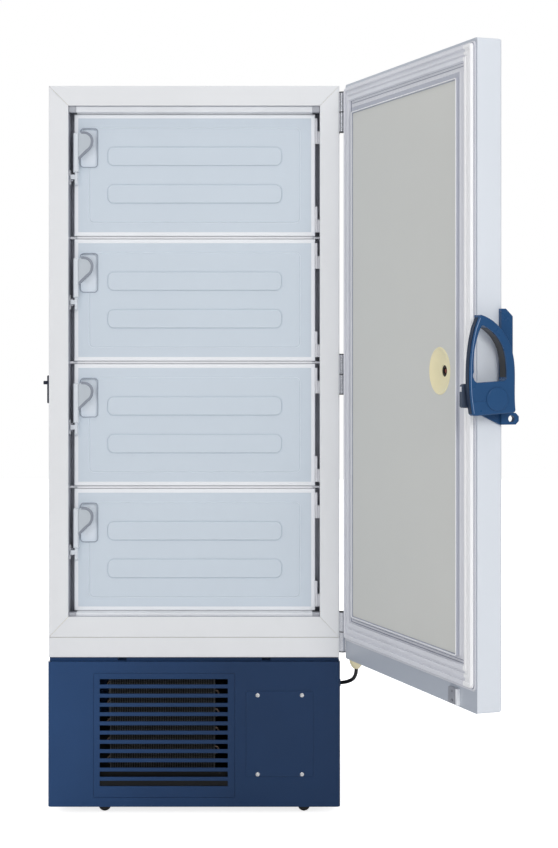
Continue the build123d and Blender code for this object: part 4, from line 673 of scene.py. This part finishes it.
def endTree(tree, entry, leave, shape):
    # The shape on every point, turned, made real and given its finish.
    points = tree.nodes.new("GeometryNodeMeshToPoints")
    tree.links.new(entry.outputs["Geometry"], points.inputs["Mesh"])
    placed = tree.nodes.new("GeometryNodeInstanceOnPoints")
    tree.links.new(points.outputs["Points"], placed.inputs["Points"])
    tree.links.new(shape, placed.inputs["Instance"])
    tree.links.new(entry.outputs["Turn"], placed.inputs["Rotation"])
    real = join(tree, placed.outputs[0], tree.nodes.new("GeometryNodeRealizeInstances"), 0)
    painted = join(tree, real.outputs[0], tree.nodes.new("GeometryNodeSetMaterial"), "Geometry")
    tree.links.new(entry.outputs["Finish"], painted.inputs["Material"])
    tree.links.new(painted.outputs[0], leave.inputs[0])
    return tree


def runTree(tree, name, spots, sizes, turn, finish, body):
    # A plain mesh piece from a tree, on a body.
    mesh = bpy.data.meshes.new(name)
    mesh.from_pydata(spots, [], [])
    holder = bpy.data.objects.new(name, mesh)
    scene.collection.objects.link(holder)
    modifier = holder.modifiers.new("shapes", "NODES")
    modifier.node_group = tree
    values = dict(sizes, Turn=turn, Finish=paint[finish])
    for item in tree.interface.items_tree:
        if item.in_out == "INPUT" and item.name in values:
            modifier[item.identifier] = values[item.name]
    piece = meshFrom(holder, name)
    piece.data.set_sharp_from_angle(angle=radians(40))
    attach(piece, body)
    return piece


# The pan head: its sides, the share of its width at the top, and the reach and width of the cross
screwForm = {"sides": 24, "top": 0.74, "reach": 1.05, "width": 0.24}


def screwTree():
    # A pan head with a cross recess, its foot at the point and its axis along Z.
    tree, entry, leave = startTree("crossScrew", ["Radius", "Height"])
    radius, height = entry.outputs["Radius"], entry.outputs["Height"]
    head = tree.nodes.new("GeometryNodeMeshCone")
    head.inputs["Vertices"].default_value = screwForm["sides"]
    tree.links.new(times(tree, radius, screwForm["top"]), head.inputs["Radius Top"])
    tree.links.new(radius, head.inputs["Radius Bottom"])
    tree.links.new(height, head.inputs["Depth"])
    cut = tree.nodes.new("GeometryNodeMeshBoolean")
    cut.operation = "DIFFERENCE"
    tree.links.new(head.outputs["Mesh"], cut.inputs[0])
    for long, wide in ((screwForm["reach"], screwForm["width"]), (screwForm["width"], screwForm["reach"])):
        size = tree.nodes.new("ShaderNodeCombineXYZ")
        join(tree, times(tree, radius, long), size, 0)
        join(tree, times(tree, radius, wide), size, 1)
        join(tree, height, size, 2)
        slot = join(tree, size.outputs[0], tree.nodes.new("GeometryNodeMeshCube"), "Size")
        lift = tree.nodes.new("ShaderNodeCombineXYZ")
        join(tree, times(tree, height, 1.5), lift, 2)
        raised = tree.nodes.new("GeometryNodeTransform")
        tree.links.new(slot.outputs["Mesh"], raised.inputs["Geometry"])
        tree.links.new(lift.outputs[0], raised.inputs["Translation"])
        tree.links.new(raised.outputs[0], cut.inputs[1])
    return endTree(tree, entry, leave, cut.outputs["Mesh"])


def discTree():
    # A plain flat disc, its axis along Z, for the joints and ends of the hinges.
    tree, entry, leave = startTree("hingeDisc", ["Radius", "Height"])
    disc = tree.nodes.new("GeometryNodeMeshCylinder")
    disc.inputs["Vertices"].default_value = 32
    tree.links.new(entry.outputs["Radius"], disc.inputs["Radius"])
    tree.links.new(entry.outputs["Height"], disc.inputs["Depth"])
    return endTree(tree, entry, leave, disc.outputs["Mesh"])


def rimTree():
    # A fine bead round a rounded rectangle that stands upright and faces forward.
    tree, entry, leave = startTree("pocketBead", ["Width", "Tall", "Corner", "Bead"])
    shape = tree.nodes.new("GeometryNodeCurvePrimitiveQuadrilateral")
    tree.links.new(entry.outputs["Width"], shape.inputs["Width"])
    tree.links.new(entry.outputs["Tall"], shape.inputs["Height"])
    rounded = tree.nodes.new("GeometryNodeFilletCurve")
    rounded.mode = "POLY"
    rounded.inputs["Count"].default_value = 8
    tree.links.new(shape.outputs["Curve"], rounded.inputs["Curve"])
    tree.links.new(entry.outputs["Corner"], rounded.inputs["Radius"])
    profile = tree.nodes.new("GeometryNodeCurvePrimitiveCircle")
    profile.inputs["Resolution"].default_value = 8
    tree.links.new(entry.outputs["Bead"], profile.inputs["Radius"])
    tube = tree.nodes.new("GeometryNodeCurveToMesh")
    tree.links.new(rounded.outputs["Curve"], tube.inputs["Curve"])
    tree.links.new(profile.outputs["Curve"], tube.inputs["Profile Curve"])
    return endTree(tree, entry, leave, tube.outputs["Mesh"])


screwShape, discShape, rimShape = screwTree(), discTree(), rimTree()
forward = (pi / 2, 0, 0)
# Rear and side screws: just under the surface of the sheets, and the two heights on the base covers
outside = 0.3948
coverHeights = (0.115, 0.395)
screws = {
    # name: (places of the foot of the head, radius, half its height, turn, finish, body, slot)
    "rearScrews": (
        [(x, outside, z) for x in (-0.375, 0.375) for z in (0.460, 0.832, 1.204, 1.576, 1.948)],
        0.0048, 0.0016, (-pi / 2, 0, 0), "screwSteel", "cabinet", slotOf["back_panel"],
    ),
    "grilleScrews": (
        [(x, outside, z) for x in (-0.375, 0.375) for z in coverHeights],
        0.0048, 0.0012, (-pi / 2, 0, 0), "jointBlack", "cabinet", slotOf["base_rear_grille"],
    ),
    "leftCoverScrews": (
        [(-outside, y, z) for y in (-0.365, 0.365) for z in coverHeights],
        0.0048, 0.0008, (0, -pi / 2, 0), "jointBlack", "cabinet", slotOf["base_side_covers"],
    ),
    "rightCoverScrews": (
        [(outside, y, z) for y in (-0.365, 0.365) for z in coverHeights],
        0.0048, 0.0008, (0, pi / 2, 0), "jointBlack", "cabinet", slotOf["base_side_covers"],
    ),
    "serviceScrews": (
        [(x, -0.4013, z) for x in (0.1729, 0.2933) for z in (0.1095, 0.3241)],
        0.0060, 0.0018, forward, "screwSteel", "cabinet", slotOf["base_screws"],
    ),
    "strikerScrews": (
        [(-0.4002, -0.36998, z) for z in (1.15457, 1.13057)],
        0.0050, 0.0011, (0, -pi / 2, 0), "jointBlack", "cabinet", slotOf["door_striker"],
    ),
}
for name, (spots, radius, height, turn, finish, body, slot) in screws.items():
    screwPiece = runTree(
        screwShape, name, spots, {"Radius": radius, "Height": height}, turn, finish, body
    )
    if name == "serviceScrews":
        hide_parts("base_screws")

# Hinge discs: the low ends of the barrels, their length, and how far a cap stands past an end
hinges = {
    "low": (0.444, 1.143, 1.854), "tall": 0.106, "past": 0.0012,
    "disc": {"Radius": 0.0089, "Height": 0.0026},
}
lifts = (-hinges["past"], hinges["tall"] / 2, hinges["tall"] + hinges["past"])
hingeSpots = [(*doorPlaces["hinge"], z + lift) for z in hinges["low"] for lift in lifts]
runTree(
    discShape, "hingeDiscs", hingeSpots, hinges["disc"], (0, 0, 0), "jointBlack",
    "cabinet",
)

# Painted shade lines and a painted highlight line round the lining of the door: half width, low, high,
# depth, bead, corner, finish
doorRings = {
    "plateSeam": (0.3132, 0.5518, 1.8932, -0.3938, 0.0010, 0.004, "seamShade"),
    "plateEdge": (0.3158, 0.5492, 1.8958, -0.3910, 0.0012, 0.005, "highlightWhite"),
    "plugSeam": (0.3384, 0.5400, 1.9224, -0.4038, 0.0010, 0.004, "seamShade"),
    "sealInnerSeam": (0.3455, 0.5329, 1.9305, -0.4038, 0.0010, 0.004, "seamShade"),
    "sealOuterSeam": (0.3845, 0.4815, 1.9695, -0.4038, 0.0010, 0.010, "seamShade"),
}
for name, (half, low, high, depth, bead, corner, finish) in doorRings.items():
    runTree(
        rimShape, name, [onOpenDoor((0.0, depth, (low + high) / 2))],
        {"Width": 2 * half, "Tall": high - low, "Corner": corner, "Bead": bead},
        (pi / 2, 0, doorPlaces["turn"]), finish, "door",
    )

# Pockets of the inner doors: their edges from a door's middle, and the bead round them, grey as a painted
# shade line
pocket = {
    "left": -0.3115, "right": -0.2663, "low": 0.0226, "high": 0.1267,
    "face": -0.3626, "bead": 0.0012, "corner": 0.009, "wider": 0.002,
}
doorMiddles = (1.74015, 1.39845, 1.05675, 0.71505)
pocketMiddle = ((pocket["left"] + pocket["right"]) / 2, (pocket["low"] + pocket["high"]) / 2)
pocketSizes = {
    "Width": pocket["right"] - pocket["left"] + pocket["wider"],
    "Tall": pocket["high"] - pocket["low"] + pocket["wider"],
    "Corner": pocket["corner"],
    "Bead": pocket["bead"],
}
for number, middle in enumerate(doorMiddles, 1):
    runTree(
        rimShape, f"pocketBead_{number}",
        [(pocketMiddle[0], pocket["face"], middle + pocketMiddle[1])], pocketSizes, forward,
        "rimShade", f"inner_door_{number}",
    )
print("repeated pieces made")

# Trim in mesh code


def arcThrough(start, middle, end, count):
    # Points on the circle through three flat points, from the first to the last.
    (ax, ay), (bx, by), (cx, cy) = start, middle, end
    d = 2 * (ax * (by - cy) + bx * (cy - ay) + cx * (ay - by))
    a2, b2, c2 = ax * ax + ay * ay, bx * bx + by * by, cx * cx + cy * cy
    ux = (a2 * (by - cy) + b2 * (cy - ay) + c2 * (ay - by)) / d
    uy = (a2 * (cx - bx) + b2 * (ax - cx) + c2 * (bx - ax)) / d
    radius = hypot(ax - ux, ay - uy)
    turns = [atan2(y - uy, x - ux) for x, y in (start, middle, end)]
    for place in (1, 2):
        while turns[place] - turns[place - 1] > pi:
            turns[place] -= 2 * pi
        while turns[place] - turns[place - 1] < -pi:
            turns[place] += 2 * pi
    steps = [turns[0] + (turns[2] - turns[0]) * step / count for step in range(count + 1)]
    return [(ux + radius * cos(turn), uy + radius * sin(turn)) for turn in steps]


def trimPiece(name, mesh, finish, body, soften=0.0):
    piece = bpy.data.objects.new(name, mesh)
    scene.collection.objects.link(piece)
    mesh.materials.clear()
    mesh.materials.append(paint[finish])
    for face in mesh.polygons:
        face.use_smooth = True
    mesh.set_sharp_from_angle(angle=radians(40))
    if soften:
        bevel = piece.modifiers.new("softEdges", "BEVEL")
        bevel.width = soften
        bevel.segments = 2
        bevel.limit_method = "ANGLE"
    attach(piece, body)
    return piece


def extruded(name, outline, lift):
    # A closed flat outline and its copy moved by lift, with the walls between them.
    work = bmesh.new()
    low = [work.verts.new(spot) for spot in outline]
    high = [work.verts.new(Vector(spot) + Vector(lift)) for spot in outline]
    work.faces.new(low)
    work.faces.new(list(reversed(high)))
    count = len(outline)
    for index in range(count):
        near = (index + 1) % count
        work.faces.new((low[near], low[index], high[index], high[near]))
    bmesh.ops.recalc_face_normals(work, faces=work.faces)
    mesh = bpy.data.meshes.new(name)
    work.to_mesh(mesh)
    work.free()
    return mesh


def tubeAlong(name, spots, radius):
    # A slim round bead through points, with closed ends.
    data = bpy.data.curves.new(name, "CURVE")
    data.dimensions = "3D"
    spline = data.splines.new("POLY")
    spline.points.add(len(spots) - 1)
    for point, spot in zip(spline.points, spots):
        point.co = (*spot, 1)
    data.bevel_depth = radius
    data.bevel_resolution = 2
    data.use_fill_caps = True
    holder = bpy.data.objects.new(name, data)
    scene.collection.objects.link(holder)
    piece = meshFrom(holder, name)
    mesh = piece.data
    bpy.data.objects.remove(piece)
    return mesh


# Painted shade: a dark grey lip round the curved edge of each finger pull, from a door's middle
fin = {
    "left": -0.3165, "right": -0.2775, "top": 0.1157, "low": 0.0430, "face": -0.3772,
    "lip": 0.0042, "sunk": 0.0030, "start": 0.010, "end": 0.002, "inward": 0.6, "down": 0.3,
}
# Three points on each arc, as distances left of and below the pull's corner, and the steps along it
finArcs = [
    ((0.022, 0.0), (0.0055, 0.0075), (0.0, 0.024), 10),
    ((0.0, 0.024), (0.004, 0.038), (0.014, 0.048), 6),
]
finEdge = [(fin["left"] + fin["start"], fin["top"])]
for place, (*arc, steps) in enumerate(finArcs):
    curve = arcThrough(*[(fin["right"] - left, fin["top"] - down) for left, down in arc], steps)
    # The second arc starts where the first ends.
    finEdge += curve[place:]
finEdge.append((fin["left"] + fin["end"], fin["low"] + fin["end"]))
lipInward, lipDown = fin["lip"] * fin["inward"], fin["lip"] * fin["down"]
for number, middle in enumerate(doorMiddles, 1):
    lipSpots = [(x - lipInward, fin["face"] + fin["sunk"], middle + z - lipDown) for x, z in finEdge]
    trimPiece(
        f"pullLip_{number}", tubeAlong(f"pullLip_{number}", lipSpots, fin["lip"]), "lipShade",
        f"inner_door_{number}",
    )

# Cover strips on the noses of the divider rails, between the inner doors, and at top and bottom
divider = {
    "half": 0.322, "back": -0.3490, "front": -0.3584, "tall": 0.0058,
    "topStrip": (1.9078, 1.9096), "bottomStrip": (0.5459, 0.5474), "soften": 0.0004,
}
between = [(a + b) / 2 for a, b in zip(doorMiddles, doorMiddles[1:])]
noses = [(middle - divider["tall"] / 2, middle + divider["tall"] / 2) for middle in between]
noses += [divider["topStrip"], divider["bottomStrip"]]
for number, (low, high) in enumerate(noses):
    outline = [
        (-divider["half"], divider["back"], low), (-divider["half"], divider["front"], low),
        (-divider["half"], divider["front"], high), (-divider["half"], divider["back"], high),
    ]
    trimPiece(
        f"dividerNose_{number + 1}", extruded("nose", outline, (2 * divider["half"], 0, 0)), "railPlastic",
        "cabinet", divider["soften"],
    )

# Air dam under the pan, behind the lowest slots: an upright sheet with a flange to the rear
dam = {
    "left": -0.279, "right": 0.117, "front": -0.3968, "back": -0.3832,
    "low": 0.066, "high": 0.0985, "sheet": 0.0012,
}
sheetBack, sheetLow = dam["front"] + dam["sheet"], dam["high"] - dam["sheet"]
section = [
    (dam["front"], dam["low"]), (dam["front"], dam["high"]), (dam["back"], dam["high"]),
    (dam["back"], sheetLow), (sheetBack, sheetLow), (sheetBack, dam["low"]),
]
outline = [(dam["left"], y, z) for y, z in section]
trimPiece(
    "airDam", extruded("airDam", outline, (dam["right"] - dam["left"], 0, 0)), "chassisSteel", "cabinet",
)

# Lever: its axle (y, z) and the depths of its walls with the door shut, and the sheets, in millimetres
lever = {
    "axle": (-0.432, 1.150), "face": -0.445, "back": -0.4104, "nearBack": -0.4256,
    "liningStart": 0.005, "flankStart": 0.0032, "lining": 0.6, "flank": 5.1,
    "beadLift": 0.0004, "beadRadius": 0.0009,
}


def onLever(x, u, z):
    # u runs from the axle away from the cabinet, z runs up, both in millimetres.
    return onOpenDoor((x, lever["axle"][0] - u / 1000, lever["axle"][1] + z / 1000))


def sheetOnLever(name, wall, start, end, thick, finish):
    # A sheet along a wall of the lever, thick in millimetres to the left of the way the points run.
    cover = []
    for index, (u, z) in enumerate(wall):
        (u0, z0), (u1, z1) = wall[max(index - 1, 0)], wall[min(index + 1, len(wall) - 1)]
        long = hypot(u1 - u0, z1 - z0)
        cover.append((u - (z1 - z0) / long * thick, z + (u1 - u0) / long * thick))
    outline = [onLever(start, u, z) for u, z in wall + cover[::-1]]
    depth = onLever(end, 0, 0) - onLever(start, 0, 0)
    trimPiece(name, extruded(name, outline, depth), finish, "handle")


# The front wall of the loop from its foot up to the point, then the near edge from the point down
wall = arcThrough((24.5, 50.0), (23.7, 82.0), (19.0, 108.6), 8)
wall += arcThrough((19.0, 108.6), (-5.0, 148.0), (-36.5, 168.0), 12)[1:-2]
nearEdge = [(-42.0, 184.0), (-51.8, 160.0)]
nearEdge += arcThrough((-57.3, 137.0), (-64.8, 70.0), (-62.5, 0.0), 14) + [(-57.5, -32.0)]
# A thin black sheet along the inner wall of the loop.
sheetOnLever(
    "loopLining", wall, lever["face"] + lever["liningStart"], lever["back"], lever["lining"], "loopWallBlack"
)
# Painted shade: a dark blue sheet over the near side of the lever.
sheetOnLever(
    "leverFlankShade", nearEdge[::-1], lever["face"] + lever["flankStart"], lever["nearBack"], lever["flank"],
    "flankShadeBlue",
)
# Painted highlight: a light blue bead along the near edge of the lever's face.
beadSpots = [onLever(lever["face"] + lever["beadLift"], u, z) for u, z in nearEdge]
trimPiece(
    "leverHighlightBead", tubeAlong("leverHighlightBead", beadSpots, lever["beadRadius"]), "highlightBlue", "handle",
)
print("trim made")

# Door cable: the route of the construction, as one smooth curve

cable = {
    "route": [
        (0.43990, -0.41720, 0.4000),
        (0.43990, -0.41720, 0.3760),
        (0.41400, -0.36600, 0.3520),
        (0.39160, -0.36600, 0.3520),
    ],
    "diameter": 0.010,
    "length": 0.1038,
}


def splineOf(name, route, thickness):
    data = bpy.data.curves.new(name, "CURVE")
    data.dimensions = "3D"
    spline = data.splines.new("NURBS")
    spline.points.add(len(route) - 1)
    for point, spot in zip(spline.points, route):
        point.co = (*spot, 1)
    spline.order_u = 3
    spline.use_endpoint_u = True
    spline.resolution_u = 12
    data.bevel_depth = thickness
    data.bevel_resolution = 5
    data.use_fill_caps = True
    holder = bpy.data.objects.new(name, data)
    scene.collection.objects.link(holder)
    return holder


centreLine = meshFrom(splineOf("cableLine", cable["route"], 0.0), "cableLine")
bpy.data.objects.remove(centreLine)
cableTube = meshFrom(splineOf("doorCableTube", cable["route"], cable["diameter"] / 2), "doorCable")
cableTube.data.materials.clear()
cableTube.data.materials.append(paint["cableRubber"])
for face in cableTube.data.polygons:
    face.use_smooth = True
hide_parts("door_cable")
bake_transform(cableTube)
print("cable laid")

# Floor

floorMesh = bpy.data.meshes.new("studioFloor")
reach = studio["floorReach"]
floorCorners = [(-reach, -reach, 0), (reach, -reach, 0), (reach, reach, 0), (-reach, reach, 0)]
floorMesh.from_pydata(floorCorners, [], [(0, 1, 2, 3)])
floorObject = bpy.data.objects.new("studioFloor", floorMesh)
scene.collection.objects.link(floorObject)
floorPaint = bpy.data.materials.new("floorPaint")
floorPaint.use_nodes = True
floorShader = floorPaint.node_tree.nodes["Principled BSDF"]
floorShader.inputs["Base Color"].default_value = (*studio["floorTone"], 1)
floorShader.inputs["Roughness"].default_value = studio["floorRough"]
floorShader.inputs["Emission Color"].default_value = (1, 1, 1, 1)
floorRays = floorPaint.node_tree.nodes.new("ShaderNodeLightPath")
floorGlow = floorPaint.node_tree.nodes.new("ShaderNodeMath")
floorGlow.operation = "MULTIPLY"
floorGlow.inputs[1].default_value = studio["floorGlow"]
floorPaint.node_tree.links.new(floorRays.outputs["Is Camera Ray"], floorGlow.inputs[0])
floorPaint.node_tree.links.new(floorGlow.outputs[0], floorShader.inputs["Emission Strength"])
floorMesh.materials.append(floorPaint)
floorObject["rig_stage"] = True

low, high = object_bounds()
